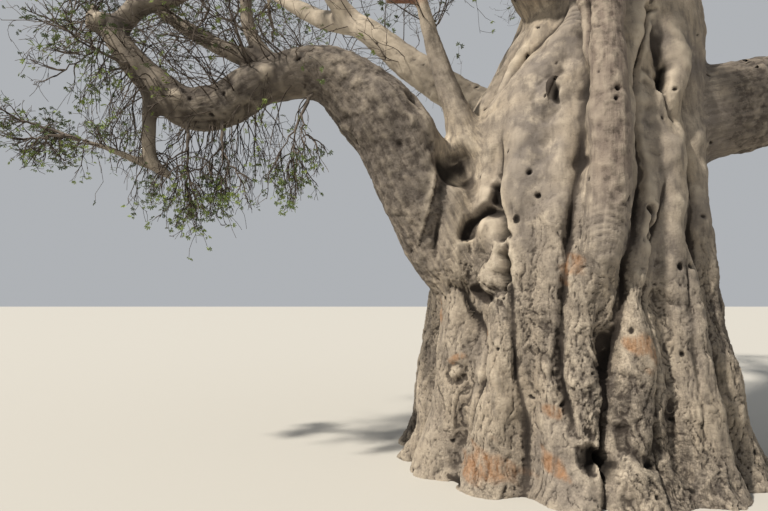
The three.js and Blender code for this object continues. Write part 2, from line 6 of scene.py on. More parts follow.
import bmesh
import bpy
import numpy as np
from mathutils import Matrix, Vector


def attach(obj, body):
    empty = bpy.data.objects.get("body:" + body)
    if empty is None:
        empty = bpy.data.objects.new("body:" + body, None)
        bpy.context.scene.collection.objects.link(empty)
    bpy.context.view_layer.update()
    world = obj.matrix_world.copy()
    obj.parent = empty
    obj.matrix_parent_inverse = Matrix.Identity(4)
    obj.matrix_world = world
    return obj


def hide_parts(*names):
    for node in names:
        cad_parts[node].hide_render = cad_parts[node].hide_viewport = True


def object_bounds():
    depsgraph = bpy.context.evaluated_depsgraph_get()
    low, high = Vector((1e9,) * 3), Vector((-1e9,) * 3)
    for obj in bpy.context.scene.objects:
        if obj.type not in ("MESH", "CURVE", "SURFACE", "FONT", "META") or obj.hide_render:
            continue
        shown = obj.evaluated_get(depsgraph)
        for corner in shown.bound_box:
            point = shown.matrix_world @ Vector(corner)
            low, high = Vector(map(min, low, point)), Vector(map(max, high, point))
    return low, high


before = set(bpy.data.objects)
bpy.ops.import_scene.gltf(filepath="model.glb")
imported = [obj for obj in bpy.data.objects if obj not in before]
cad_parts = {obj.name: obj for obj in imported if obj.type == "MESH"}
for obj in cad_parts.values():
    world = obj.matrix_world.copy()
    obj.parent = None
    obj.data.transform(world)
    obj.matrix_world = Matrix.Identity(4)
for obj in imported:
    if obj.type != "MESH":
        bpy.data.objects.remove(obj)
cadBox = [list(corner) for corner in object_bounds()]
body = "root"
print("frame loaded:", len(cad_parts), "nodes")


# Small helpers

def unit(v):
    return v / np.maximum(np.linalg.norm(v, axis=-1, keepdims=True), 1e-9)


def headingVector(heading, rise):
    a, e = math.radians(heading), math.radians(rise)
    return np.array([math.sin(a) * math.cos(e), -math.cos(a) * math.cos(e), math.sin(e)])


def ease(low, high, x):
    t = np.clip((x - low) / (high - low), 0, 1)
    return t * t * (3 - 2 * t)


def dome(distance):  # 1 in the middle, 0 from a distance of 1
    return (1 - np.clip(distance, 0, 1) ** 2) ** 2


def linear(hexColour):
    values = [int(hexColour[i:i + 2], 16) / 255 for i in (1, 3, 5)]
    return [v / 12.92 if v <= 0.04045 else ((v + 0.055) / 1.055) ** 2.4 for v in values] + [1]


def addNode(tree, kind, inputs=None, **settings):
    # Adds a node with its settings, values and links. A node given as an input stands for its first live
    # output, and a kind without the word Node is a shader node's.
    node = tree.nodes.new(kind if "Node" in kind else "ShaderNode" + kind)
    for name, value in settings.items():
        setattr(node, name, value)
    for name, value in (inputs or {}).items():
        if isinstance(value, bpy.types.Node):
            value = next(output for output in value.outputs if output.enabled)
        if isinstance(value, bpy.types.NodeSocket):
            tree.links.new(value, node.inputs[name])
        else:
            node.inputs[name].default_value = value
    return node


def addObject(name, mesh):
    made = bpy.data.objects.new(name, mesh)
    bpy.context.scene.collection.objects.link(made)
    return made


def meshFrom(name, points, corners, sizes, smooth=True):
    # corners are the faces' vertices one after the other, sizes how many each face has
    mesh = bpy.data.meshes.new(name)
    sizes = np.asarray(sizes, np.int32)
    mesh.vertices.add(len(points))
    mesh.vertices.foreach_set("co", np.asarray(points, np.float32).ravel())
    mesh.loops.add(len(corners))
    mesh.loops.foreach_set("vertex_index", np.asarray(corners, np.int32))
    mesh.polygons.add(len(sizes))
    mesh.polygons.foreach_set("loop_start", (np.cumsum(sizes) - sizes).astype(np.int32))
    mesh.polygons.foreach_set("use_smooth", np.full(len(sizes), smooth))
    mesh.update(calc_edges=True)
    return mesh


def threes(items, key):
    values = np.empty(len(items) * 3, np.float32)
    items.foreach_get(key, values)
    return values.reshape(-1, 3)


def pointsOf(mesh):
    return threes(mesh.vertices, "co").astype(float)


def normalsOf(mesh):
    return threes(mesh.vertex_normals, "vector").astype(float)


def store(mesh, name, values):
    values = np.asarray(values, np.float32)
    kind = "FLOAT" if values.ndim == 1 else "FLOAT_VECTOR"
    attribute = mesh.attributes.get(name) or mesh.attributes.new(name, kind, "POINT")
    attribute.data.foreach_set("value" if values.ndim == 1 else "vector", values.ravel())


def stored(mesh, name):
    attribute = mesh.attributes[name]
    if attribute.data_type == "FLOAT_VECTOR":
        return threes(attribute.data, "vector").astype(float)
    values = np.empty(len(mesh.vertices), np.float32)
    attribute.data.foreach_get("value", values)
    return values.astype(float)


def newTree(name, inputs):
    # A Geometry Nodes tree with named inputs; returns it with its input and output nodes and the identifiers
    tree = bpy.data.node_groups.new(name, "GeometryNodeTree")
    tree.interface.new_socket(name="Geometry", in_out="INPUT", socket_type="NodeSocketGeometry")
    tree.interface.new_socket(name="Geometry", in_out="OUTPUT", socket_type="NodeSocketGeometry")
    identifiers = {}
    for label, kind in inputs.items():
        socket = tree.interface.new_socket(name=label, in_out="INPUT", socket_type="NodeSocket" + kind)
        identifiers[label] = socket.identifier
    return tree, tree.nodes.new("NodeGroupInput"), tree.nodes.new("NodeGroupOutput"), identifiers


def endTree(tree, end, geometry, material):
    real = addNode(tree, "GeometryNodeRealizeInstances", {"Geometry": geometry})
    made = addNode(tree, "GeometryNodeSetMaterial", {"Geometry": real, "Material": material})
    tree.links.new(made.outputs[0], end.inputs[0])


def throughTree(holder, tree, identifiers, values):
    # The plain mesh that a tree makes of an object
    modifier = holder.modifiers.new(tree.name, "NODES")
    modifier.node_group = tree
    for label, value in values.items():
        modifier[identifiers[label]] = value
    return evaluated(holder)


def evaluated(holder):
    # The plain mesh that an object's modifiers make, and the object is removed
    bpy.context.view_layer.update()
    graph = bpy.context.evaluated_depsgraph_get()
    made = bpy.data.meshes.new_from_object(
        holder.evaluated_get(graph), preserve_all_data_layers=True, depsgraph=graph)
    old = holder.data
    holder.modifiers.clear()
    bpy.data.objects.remove(holder)
    bpy.data.meshes.remove(old)
    return made


def startMaterial(name, roughness, specular):
    # A plain Principled material; returns it with its tree and shader
    material = bpy.data.materials.new(name)
    material.use_nodes = True
    shader = material.node_tree.nodes["Principled BSDF"]
    shader.inputs["Roughness"].default_value = roughness
    shader.inputs["Specular IOR Level"].default_value = specular
    return material, material.node_tree, shader


def tableOf(columns, *rows):
    return [dict(zip(columns.split(), row)) for row in rows]


# Camera, light and floor

view = {"eye": (-2.11, -6.56, 1.7), "tiltUp": 4.746, "lens": 26.25, "film": 36.0, "farthest": 300}
studio = {
    "sunHeading": -58,  # degrees from -Y towards +X: the key light stands to the left of the camera
    "sunHeight": 47,
    "sunStrength": 5.6,
    "sunSoftness": 3.0,  # degrees across
    "sunColour": "#fff8ec",
    "skyColour": "#eef2f7",
    "skyStrength": 0.5,
    "floorColour": "#b3b0a9",
    "floorRoughness": 0.9,
    "floorSpecular": 0.5,
    "floorSize": 400.0,
}


def placeCamera():
    lens = bpy.data.cameras.new("viewLens")
    lens.sensor_width = view["film"]
    lens.lens = view["lens"]
    lens.clip_end = view["farthest"]
    camera = addObject("viewCamera", lens)
    camera.location = view["eye"]
    camera.rotation_euler = (math.radians(90 + view["tiltUp"]), 0, 0)
    bpy.context.scene.camera = camera


def placeStudio():
    sun = bpy.data.lights.new("keyLight", "SUN")
    sun.energy = studio["sunStrength"]
    sun.angle = math.radians(studio["sunSoftness"])
    sun.color = linear(studio["sunColour"])[:3]
    lamp = addObject("keyLight", sun)
    lamp.rotation_euler = (math.radians(90 - studio["sunHeight"]), 0, math.radians(studio["sunHeading"]))
    world = bpy.data.worlds.new("studioSky")
    world.use_nodes = True
    background = world.node_tree.nodes["Background"]
    background.inputs["Color"].default_value = linear(studio["skyColour"])
    background.inputs["Strength"].default_value = studio["skyStrength"]
    bpy.context.scene.world = world
    half = studio["floorSize"] / 2
    corners = [(-half, -half, 0), (half, -half, 0), (half, half, 0), (-half, half, 0)]
    floor = addObject("studioFloor", meshFrom("studioFloor", corners, [0, 1, 2, 3], [4]))
    paint, _, shader = startMaterial("mattFloorPaint", studio["floorRoughness"], studio["floorSpecular"])
    shader.inputs["Base Color"].default_value = linear(studio["floorColour"])
    floor.data.materials.append(paint)
    bpy.context.scene.view_settings.view_transform = "Standard"


placeCamera()
placeStudio()
print("camera, light and floor placed")


# The trunk's form. Each rib is an old stem: azimuth at the ground and at the fork, in degrees from -Y towards
# +X, and its radius there.
trunk = {
    "spine": [  # height, x, reach of the ribs
        (0, 0, 1.86), (0.85, 0, 1.75), (1.7, 0, 1.62), (2.6, 0.05, 1.51), (3.7, 0.15, 1.37),
        (4.8, 0.54, 1.11), (5.6, 0.62, 0.88), (6.1, 0.62, 0.46),
    ],
    "top": 6.05,
    "ribs": [
        (-83, -76, 0.19, 0.15), (-64, -55, 0.33, 0.23), (-41, -38, 0.33, 0.26), (-16, -16, 0.44, 0.33),
        (6, 4, 0.33, 0.25), (26, 27, 0.32, 0.25), (47, 48, 0.30, 0.24), (70, 74, 0.36, 0.26),
        (95, 99, 0.31, 0.24), (119, 124, 0.40, 0.30), (146, 148, 0.33, 0.26), (170, 172, 0.38, 0.28),
        (-165, -162, 0.32, 0.25), (-141, -140, 0.39, 0.29), (-117, -116, 0.30, 0.24), (-100, -97, 0.26, 0.20),
    ],
    "coreRecess": 0.19,
    "flareHeight": 0.42,
    "flareGrowth": 0.09,
    "wander": 2.6,  # degrees that a rib strays from its line
    "softFurrow": 0.035,  # how round the furrows are above, and below, and where that changes
    "sharpFurrow": 0.012,
    "softens": (1.2, 3.2),
    "sides": 420,
    "levels": 190,
    "below": 0.3,  # length under the ground that the flat cut takes off again
    "dome": (5.5, 6.1, 0.75),  # heights between which the top is rounded over, and how far
}
# Boughs that the view shows, by knots x, y, z and radius; "collar" is the share of a bough that belongs to
# its parent, and "pieces" are its named stretches with the share where each ends.
knottedBoughs = [
    {"on": "trunk", "collar": 0.16, "pieces": [("left_bough", 0.56), ("left_arm", 1)], "knots": [
        (-1.10, -0.38, 1.90, 0.48), (-1.68, -0.50, 2.90, 0.47), (-2.19, -0.59, 3.76, 0.43),
        (-2.78, -0.60, 4.19, 0.31), (-3.40, -0.60, 4.11, 0.265), (-3.90, -0.62, 3.83, 0.24),
        (-4.27, -0.65, 3.81, 0.215), (-4.65, -0.68, 4.12, 0.17), (-4.93, -0.70, 4.42, 0.15),
        (-5.12, -0.70, 4.69, 0.14), (-5.33, -0.72, 4.76, 0.115)]},
    {"on": "left_arm", "collar": 0.10, "pieces": [("left_return", 1)], "knots": [
        (-5.05, -0.70, 4.62, 0.125), (-4.78, -0.68, 4.93, 0.12), (-4.43, -0.62, 5.08, 0.11),
        (-4.08, -0.55, 5.45, 0.095), (-3.98, -0.50, 6.10, 0.08), (-4.25, -0.60, 6.95, 0.055)]},
    {"on": "left_arm", "collar": 0.18, "pieces": [("left_drop", 1)], "knots": [
        (-4.64, -0.68, 4.08, 0.095), (-4.63, -0.69, 3.58, 0.078), (-4.61, -0.70, 3.29, 0.074),
        (-4.53, -0.70, 3.13, 0.078), (-4.37, -0.70, 3.03, 0.05)]},
    {"on": "left_drop", "collar": 0.26, "pieces": [("left_drop_side", 1)], "knots": [
        (-4.56, -0.70, 3.14, 0.058), (-4.74, -0.705, 3.20, 0.052), (-5.00, -0.715, 3.31, 0.042),
        (-5.34, -0.73, 3.42, 0.03)]},
    {"on": "left_bough", "collar": 0.20, "pieces": [("left_slant", 1)], "knots": [
        (-3.33, -0.60, 4.18, 0.11), (-3.72, -0.56, 4.42, 0.105), (-4.15, -0.38, 4.69, 0.092),
        (-4.90, -0.23, 5.25, 0.076), (-5.75, -0.30, 6.15, 0.052)]},
    {"on": "left_bough", "collar": 0.24, "pieces": [("left_upright", 1)], "knots": [
        (-3.25, -0.60, 4.18, 0.10), (-3.60, -0.52, 4.70, 0.084), (-3.68, -0.43, 5.50, 0.07),
        (-3.30, -0.35, 6.90, 0.05)]},
    {"on": "trunk", "collar": 0.36, "pieces": [("crotch_stem", 1)], "knots": [
        (-0.80, -0.38, 2.30, 0.43), (-1.06, -0.46, 3.15, 0.35), (-1.31, -0.54, 3.78, 0.165),
        (-1.59, -0.57, 4.64, 0.092), (-1.72, -0.59, 5.20, 0.066), (-1.78, -0.64, 6.10, 0.048)]},
    {"on": "trunk", "collar": 0.58, "pieces": [("front_bough", 1)], "knots": [
        (-0.11, -1.10, 1.25, 0.15), (-0.10, -1.46, 2.15, 0.23), (-0.06, -1.50, 2.90, 0.225),
        (-0.02, -1.40, 3.80, 0.23), (0.04, -1.23, 4.90, 0.225), (0.15, -1.25, 5.90, 0.195),
        (0.42, -1.80, 7.10, 0.15), (0.56, -2.65, 8.50, 0.095)]},
]
# Boughs past the view's edge: each sets out on a heading at a rise and curves to a second rise as it tapers.
sweptBoughs = tableOf(
    "name collar from heading rise length girth",
    ("right_bough", 0.28, (0.25, 0.06, 3.72), 86, (12, 42), 6.0, (0.64, 0.19)),
    ("rear_left_bough", 0.18, (0.25, 0.20, 4.00), -127, (28, 42), 7.0, (0.35, 0.14)),
    ("front_left_bough", 0.18, (0, -0.10, 4.85), -27, (48, 34), 5.4, (0.32, 0.125)),
    ("crown_left_bough", 0.20, (0.40, -0.05, 5.00), -76, (52, 50), 5.6, (0.40, 0.14)),
    ("crown_right_bough", 0.24, (0.62, 0, 4.90), 68, (52, 44), 5.6, (0.40, 0.14)),
    ("crown_top_bough", 0.18, (0.55, 0.15, 5.20), -150, (76, 66), 5.6, (0.40, 0.14)),
    ("rear_bough", 0.22, (0.50, 0.20, 4.70), 172, (46, 36), 6.4, (0.43, 0.15)),
    ("rear_right_bough", 0.26, (0.50, 0.20, 4.50), 128, (40, 40), 6.0, (0.38, 0.14)))
# Their side boughs leave the parent at a share of its length, turned away from it.
sideBoughs = tableOf(
    "name on collar at turn rise length girth",
    ("right_bough_front", "right_bough", 0.26, 0.5, -52, (26, 38), 3.3, (0.23, 0.085)),
    ("right_bough_rear", "right_bough", 0.26, 0.68, 48, (30, 40), 2.6, (0.19, 0.08)),
    ("rear_left_fork", "rear_left_bough", 0.16, 0.55, 55, (50, 46), 2.9, (0.20, 0.08)),
    ("crown_left_fork", "crown_left_bough", 0.20, 0.52, -50, (42, 50), 2.7, (0.19, 0.08)),
    ("crown_right_fork", "crown_right_bough", 0.16, 0.5, -52, (40, 50), 2.9, (0.19, 0.08)),
    ("crown_top_fork", "crown_top_bough", 0.14, 0.55, 175, (48, 56), 2.5, (0.19, 0.08)),
    ("rear_bough_fork", "rear_bough", 0.26, 0.5, 48, (44, 46), 2.9, (0.20, 0.08)),
    ("rear_right_fork", "rear_right_bough", 0.32, 0.52, -44, (36, 30), 2.8, (0.19, 0.08)),
    ("front_left_fork", "front_left_bough", 0.22, 0.55, 52, (34, 44), 2.5, (0.16, 0.075)))
boughForm = {
    "sway": 11,  # degrees that a bough strays, up and (by the next factor) sideways, and its waves
    "sideways": 1.6,
    "swayWaves": 9,
    "taper": 1.15,
    "steps": 5,
    "samples": 60,
    "fill": 0.985,  # a bough's section against its radius, and how lumpy it is
    "lumps": 0.05,
    "sides": 40,
}
stubs = tableOf(  # broken-off side shoots
    "on at heading rise length radius",
    ("crotch_stem", 0.62, -90, -2, 0.33, 0.062), ("left_arm", 0.93, -150, 45, 0.24, 0.075))
# The crown: a mass of twigs on each bough's tip, and some on short spurs along the left bough.
tipReach = {"left_return": 1.9, "left_drop_side": 0.85, "left_slant": 2.0, "left_upright": 1.9,
            "crotch_stem": 1.7, "front_bough": 2.4}
sweptReach = {"trunk": 2.7, "bough": 2.5}
spurMasses = tableOf(
    "name on at heading rise reach droop",
    ("arm_hanging_twigs", "left_arm", 0.06, 20, -66, 1.05, 0.5),
    ("bend_hanging_twigs", "left_bough", 0.82, 10, -66, 0.95, 0.5),
    ("shoulder_hanging_twigs", "left_bough", 0.36, -30, -60, 1.15, 0.7),
    ("arm_front_twigs", "left_arm", 0.34, -35, 8, 0.95, 0),
    ("shoulder_top_twigs", "left_bough", 0.66, -30, 62, 1.25, -0.1))
spur = {"length": 0.15, "radius": 0.038}
tipDroop = 0.05  # how much the shoots of a mass on a bough's tip hang


def spineAt(height):
    rows = np.array(trunk["spine"])
    flare = 1 + trunk["flareGrowth"] * np.maximum(0, 1 - height / trunk["flareHeight"]) ** 2
    return np.interp(height, rows[:, 0], rows[:, 1]), np.interp(height, rows[:, 0], rows[:, 2]) * flare


def trunkReach(azimuth, height):
    # How far the trunk reaches from its spine: the ribs and the core, melted together at the furrows
    _, radius = spineAt(height)
    share = height / trunk["top"]
    sharp, soft = trunk["sharpFurrow"], trunk["softFurrow"]
    soft = sharp + (soft - sharp) * ease(*trunk["softens"], height)
    core = radius - trunk["coreRecess"] * np.minimum(1, radius / trunk["spine"][0][2] + 0.1)
    total = np.exp((core - radius) / soft)
    for i, (foot, fork, wide, narrow) in enumerate(trunk["ribs"]):
        width = np.minimum(wide + (narrow - wide) * share, radius * 0.6)
        stray = trunk["wander"] * (np.sin(1.7 * height + 2.4 * i) + 0.6 * np.sin(3.9 * height + 4.1 * i))
        offset = np.radians((azimuth - foot - (fork - foot) * share - stray + 180) % 360 - 180)
        middle = radius - width
        across = middle * np.sin(offset)
        inside = (np.cos(offset) > 0) & (np.abs(across) < width)
        far = middle * np.cos(offset) + np.sqrt(np.maximum(width ** 2 - across ** 2, 0))
        total = total + np.where(inside, np.exp((far - radius) / soft), 0)
    return radius + soft * np.log(total)


class Limb:
    # A centreline through knots (centripetal Catmull-Rom), with a radius that runs straight from knot to knot
    def __init__(self, name, knots, collar=0.0):
        self.name = name
        self.knots = np.array(knots, float)
        self.collar = collar

    def at(self, share):
        p = self.knots[:, :3]
        last = len(p) - 1
        i = min(int(share * last), last - 1)
        t = share * last - i
        before = p[i - 1] if i else 2 * p[0] - p[1]
        after = p[i + 2] if i + 2 <= last else 2 * p[last] - p[last - 1]
        a, b, c = [((q - r) @ (q - r)) ** 0.25
                   for q, r in ((before, p[i]), (p[i], p[i + 1]), (p[i + 1], after))]
        u = ((p[i] - before) / a - (p[i + 1] - before) / (a + b) + (p[i + 1] - p[i]) / b) * b
        v = ((p[i + 1] - p[i]) / b - (after - p[i]) / (b + c) + (after - p[i + 1]) / c) * b
        step = p[i + 1] - p[i]
        return p[i] + u * t + (3 * step - 2 * u - v) * t ** 2 + (u + v - 2 * step) * t ** 3

    def along(self, share):
        return unit(self.at(min(share + 1e-4, 1)) - self.at(max(share - 1e-4, 0)))

    def radius(self, share):
        return float(np.interp(share * (len(self.knots) - 1), range(len(self.knots)), self.knots[:, 3]))


class Stretch:
    # A named stretch of a limb, measured in shares of its own length
    def __init__(self, limb, start, end):
        self.limb, self.start, self.end = limb, start, end

    def share(self, s):
        return self.start + (self.end - self.start) * s

    def at(self, s):
        return self.limb.at(self.share(s))

    def along(self, s):
        return self.limb.along(self.share(s))

    def radius(self, s):
        return self.limb.radius(self.share(s))


def sweptLimb(bough):
    if "on" in bough:
        parent = stretches[bough["on"]]
        along = parent.along(bough["at"])
        heading = math.degrees(math.atan2(along[0], -along[1])) + bough["turn"]
        point = parent.at(bough["at"])
    else:
        heading, point = bough["heading"], np.array(bough["from"], float)
    knots = []
    steps = boughForm["steps"]
    for i in range(steps + 1):
        s = i / steps
        thick, thin = bough["girth"]
        knots.append([*point, thin + (thick - thin) * (1 - s) ** boughForm["taper"]])
        sway = boughForm["sway"] * math.sin(boughForm["swayWaves"] * s + heading)
        rise = bough["rise"][0] + (bough["rise"][1] - bough["rise"][0]) * s
        ahead = headingVector(heading + boughForm["sideways"] * sway, rise + sway)
        point = point + ahead * bough["length"] / steps
    return Limb(bough["name"], knots, bough["collar"])


limbs = []
stretches = {}
parentOf = {}
capsules = []  # short straight lengths of every limb, for the twigs to keep clear of


def remember(owner, limb, start, end):
    shares = np.linspace(start, end, 11)
    for a, b in zip(shares, shares[1:]):
        capsules.append((owner, limb.at(a), limb.at(b), max(limb.radius(a), limb.radius(b))))


def addLimb(limb, on, pieces):
    limbs.append(limb)
    start = limb.collar
    for name, end in pieces:
        stretches[name] = Stretch(limb, start, end)
        parentOf[name] = on
        remember(name, limb, start, end)
        start = end
    remember(on, limb, 0, limb.collar)


def addSpur(spec, length):
    parent = stretches[spec["on"]]
    along = headingVector(spec["heading"], spec["rise"])
    root = parent.at(spec["at"])
    end = root + along * (parent.radius(spec["at"]) + length)
    return end, along, Limb(spec["on"], [[*root, spec["radius"]], [*end, spec["radius"] * 0.95]])


for bough in knottedBoughs:
    addLimb(Limb(bough["pieces"][0][0], bough["knots"], bough["collar"]), bough["on"], bough["pieces"])
for bough in sweptBoughs + sideBoughs:
    addLimb(sweptLimb(bough), bough.get("on", "trunk"), [(bough["name"], 1)])
for stub in stubs:
    limbs.append(addSpur(stub, stub["length"])[2])

# Where each mass of twigs starts. Its own space is a ball on its stem's line, on its own side of the half-way
# planes to the other masses.
space = {"middle": 0.5, "radius": 0.62, "betweenMasses": 0.012, "fromLimbs": 0.014, "aboveGround": 0.06}
for bough in sweptBoughs:
    tipReach[bough["name"]] = sweptReach["trunk"]
for bough in sideBoughs:
    tipReach[bough["name"]] = sweptReach["bough"]
masses = []
for name, reach in tipReach.items():
    tip = stretches[name]
    masses.append({"name": name + "_twigs", "on": name, "reach": reach, "droop": tipDroop, "point": tip.at(1),
                   "along": tip.along(1), "radius": tip.radius(1)})
for spec in spurMasses:
    end, along, limb = addSpur({**spec, "radius": spur["radius"]}, spur["length"])
    masses.append({**spec, "point": end, "along": along, "radius": spur["radius"], "spur": limb})
for mass in masses:
    mass["centre"] = mass["point"] + mass["along"] * mass["reach"] * space["middle"]
centres = np.array([mass["centre"] for mass in masses])
print("limbs laid out:", len(limbs), "limbs,", len(masses), "twig masses")


# The shoots of a mass, by the rule that its solid grows by
twigRule = {
    "levels": 2,
    "stemRadius": 0.8,  # against the tip that bears the mass
    "stem": 0.3,  # length of the first shoot, in shares of the mass's reach
    "shorten": 0.86,  # each level's length against the one before
    "lengthSpread": (0.85, 1.15),
    "thin": 0.6,  # a shoot's radius at its end against its start
    "thinnest": 0.012,
    "onward": 22,  # degrees that a shoot bends at most where it goes on
    "fork": (32, 66),  # degrees at which side shoots leave it, and where on its length
    "joint": (0.5, 0.92),
    "shootsPerJoint": (3, 2),
    "unevenTurn": 0.6,
    "tries": 5,  # where a shoot would touch something, it is tried again, shorter and turned
    "retryShorter": 0.12,
    "retryTurn": 0.37,
    "seeds": (101, 17),  # the first mass's seed, and the step to the next
}
# Sprays of finer twigs stand at the shoots' ends and on their sides; lengths in shares of the mass's reach
sprayRule = {"length": (0.15, 0.22), "tipAngle": 12, "sideAngle": (35, 75), "sidePlace": (0.3, 0.8)}
capsuleFrom = np.array([c[1] for c in capsules])
capsuleStep = np.array([c[2] - c[1] for c in capsules])
capsuleRadius = np.array([c[3] for c in capsules])
capsuleOwner = np.array([c[0] for c in capsules])


def seeded(seed):
    state = seed

    def draw():
        nonlocal state
        state = (state + 0x6D2B79F5) & 0xFFFFFFFF
        mixed = (state ^ (state >> 15)) * (1 | state) & 0xFFFFFFFF
        mixed = (mixed + ((mixed ^ (mixed >> 7)) * (61 | mixed) & 0xFFFFFFFF)) & 0xFFFFFFFF ^ mixed
        return ((mixed ^ (mixed >> 14)) & 0xFFFFFFFF) / 4294967296
    return draw


def between(draw, limits):
    return limits[0] + (limits[1] - limits[0]) * draw()


def turnedFrom(along, angle, turn):
    across = np.array([along[2], along[0], along[1]])
    across = unit(across - along * (across @ along))
    side = np.cross(along, across)
    a = math.radians(angle)
    return along * math.cos(a) + (across * math.cos(turn) + side * math.sin(turn)) * math.sin(a)


def inOwnSpace(mass, point):
    tooFar = np.linalg.norm(point - mass["centre"]) > mass["reach"] * space["radius"]
    if tooFar or point[2] < space["aboveGround"]:
        return False
    squares = ((centres - point) ** 2).sum(1)
    own = ((mass["centre"] - point) ** 2).sum()
    gaps = np.linalg.norm(centres - mass["centre"], axis=1)
    others = gaps > 1e-9
    return bool(np.all((squares - own)[others] / (2 * gaps[others]) > space["betweenMasses"]))


def clearOfLimbs(mass, points, room, isStem):
    for point in points:
        offset = point - capsuleFrom
        share = np.clip((offset * capsuleStep).sum(1) / (capsuleStep ** 2).sum(1), 0, 1)
        gap = np.linalg.norm(offset - capsuleStep * share[:, None], axis=1)
        clear = gap > capsuleRadius + room + space["fromLimbs"]
        if isStem:
            clear |= capsuleOwner == mass["on"]
        if not clear.all():
            return False
        x, radius = spineAt(point[2])
        if point[2] <= trunk["top"] and math.hypot(point[0] - x, point[1]) <= radius + room:
            return False
    return True


def growShoots(mass, draw):
    # Chains of joints (point, radius), and where sprays of finer twigs stand: root, direction and length
    chains = []
    sprays = []

    def spray(root, along, angle):
        out = turnedFrom(along, angle, 2 * math.pi * draw())
        draw()
        sprays.append((root, out, mass["reach"] * between(draw, sprayRule["length"])))

    def endShoot(joints, along):
        chains.append(joints)
        spray(joints[-1][0], along, sprayRule["tipAngle"])
        return True

    def grow(joints, along, length, level):
        start, radius = joints[-1]
        end = start + along * length
        thinner = max(radius * twigRule["thin"], twigRule["thinnest"])
        if not inOwnSpace(mass, end) or not clearOfLimbs(mass, [(start + end) / 2, end], radius, level == 0):
            return False
        joints.append((end, thinner))
        if level == twigRule["levels"]:
            root = start + (end - start) * between(draw, sprayRule["sidePlace"])
            spray(root, along, between(draw, sprayRule["sideAngle"]))
            return endShoot(joints, along)
        turn = 2 * math.pi * draw()
        shoots = twigRule["shootsPerJoint"][level]
        for i in range(shoots - 1, -1, -1):
            joint = start + (end - start) * between(draw, twigRule["joint"])
            grown = False
            for attempt in range(twigRule["tries"]):
                angle = twigRule["onward"] * draw() if i == 0 else between(draw, twigRule["fork"])
                around = turn + (i + attempt * twigRule["retryTurn"]) * 2 * math.pi / shoots
                around += twigRule["unevenTurn"] * draw()
                out = turnedFrom(along, angle, around) - np.array([0, 0, mass["droop"]])
                shorter = between(draw, twigRule["lengthSpread"]) * (1 - twigRule["retryShorter"] * attempt)
                onward = joints if i == 0 else [(joint, thinner)]
                grown = grow(onward, unit(out), length * twigRule["shorten"] * shorter, level + 1)
                if grown:
                    break
            if i == 0 and not grown:
                endShoot(joints, along)
        return True

    grow([(mass["point"], mass["radius"] * twigRule["stemRadius"])], mass["along"],
         mass["reach"] * twigRule["stem"], 0)
    return chains, sprays


firstSeed, seedStep = twigRule["seeds"]
for number, mass in enumerate(masses):
    mass["chains"], mass["sprays"] = growShoots(mass, seeded(firstSeed + seedStep * number))
print("shoots grown:", sum(len(mass["chains"]) for mass in masses), "chains,",
      sum(len(mass["sprays"]) for mass in masses), "sprays")


# The wood: every limb is a lumpy tube, and one skin is drawn over all of them

skin = {
    "cell": 0.0326,
    "thinnest": 0.042,  # thinner shoots than this stay out of the skin and are made with the twigs
    "settle": 26,  # rounds of smoothing
    "forkReach": 0.16,  # how far a crease between two limbs is filled out
    "forkGirth": 0.25,  # limbs thinner than this radius are filled out less, down to a share of
    "forkLeast": 0.3,
    "everywhere": 0.16,
    "most": 0.95,
    "near": 0.35,  # how far round a limb its nearness is measured
    "farOff": 9.0,  # stands for a gap where nothing is near
    "atOnce": 40000,  # points measured together, to spare memory
    "apart": 7,  # metres between one limb's patterns and the next one's
    "stemSamples": 14,
    "shootFoot": 1.2,  # a shoot is this much thicker where it leaves what bears it
    "overlap": 0.04,  # share of a shoot by which its thin end starts inside the skin
    "lumpSeed": 40,
    "fineReach": (0.2, 2.2),  # the trunk's part that gets finer faces: round which x, how far,
    "fineBelow": (1.6, 5.2),  # up to which height all round, and in front
    "fineArm": (-5.5, -1.0, -0.6, 0.7, 5.3),  # and the left bough's: x from and to, round which y, below z
}


def sampled(limb, start=0.0, end=1.0, count=None):
    shares = np.linspace(start, end, count or boughForm["samples"])
    points = np.array([limb.at(s) for s in shares])
    along = unit(np.gradient(points, axis=0))
    across = np.empty_like(points)
    turned = along[0][[2, 0, 1]]
    for i, t in enumerate(along):
        turned = unit(turned - t * (turned @ t))
        across[i] = turned
    lengths = np.concatenate([[0], np.cumsum(np.linalg.norm(np.diff(points, axis=0), axis=1))])
    return {"points": points, "radii": np.array([limb.radius(s) for s in shares]), "across": across,
            "side": np.cross(along, across), "lengths": lengths, "shares": shares}


def ringFaces(rings, sides):
    # Quads between rings of equal count, and a face over each end
    i, j = np.meshgrid(np.arange(rings - 1), np.arange(sides), indexing="ij")
    nextJ = (j + 1) % sides
    quads = np.stack([i * sides + j, i * sides + nextJ, (i + 1) * sides + nextJ, (i + 1) * sides + j], -1)
    ends = [np.arange(sides)[::-1], (rings - 1) * sides + np.arange(sides)]
    corners = np.concatenate([quads.reshape(-1), *ends])
    return corners, np.concatenate([np.full(quads.size // 4, 4), [sides, sides]])


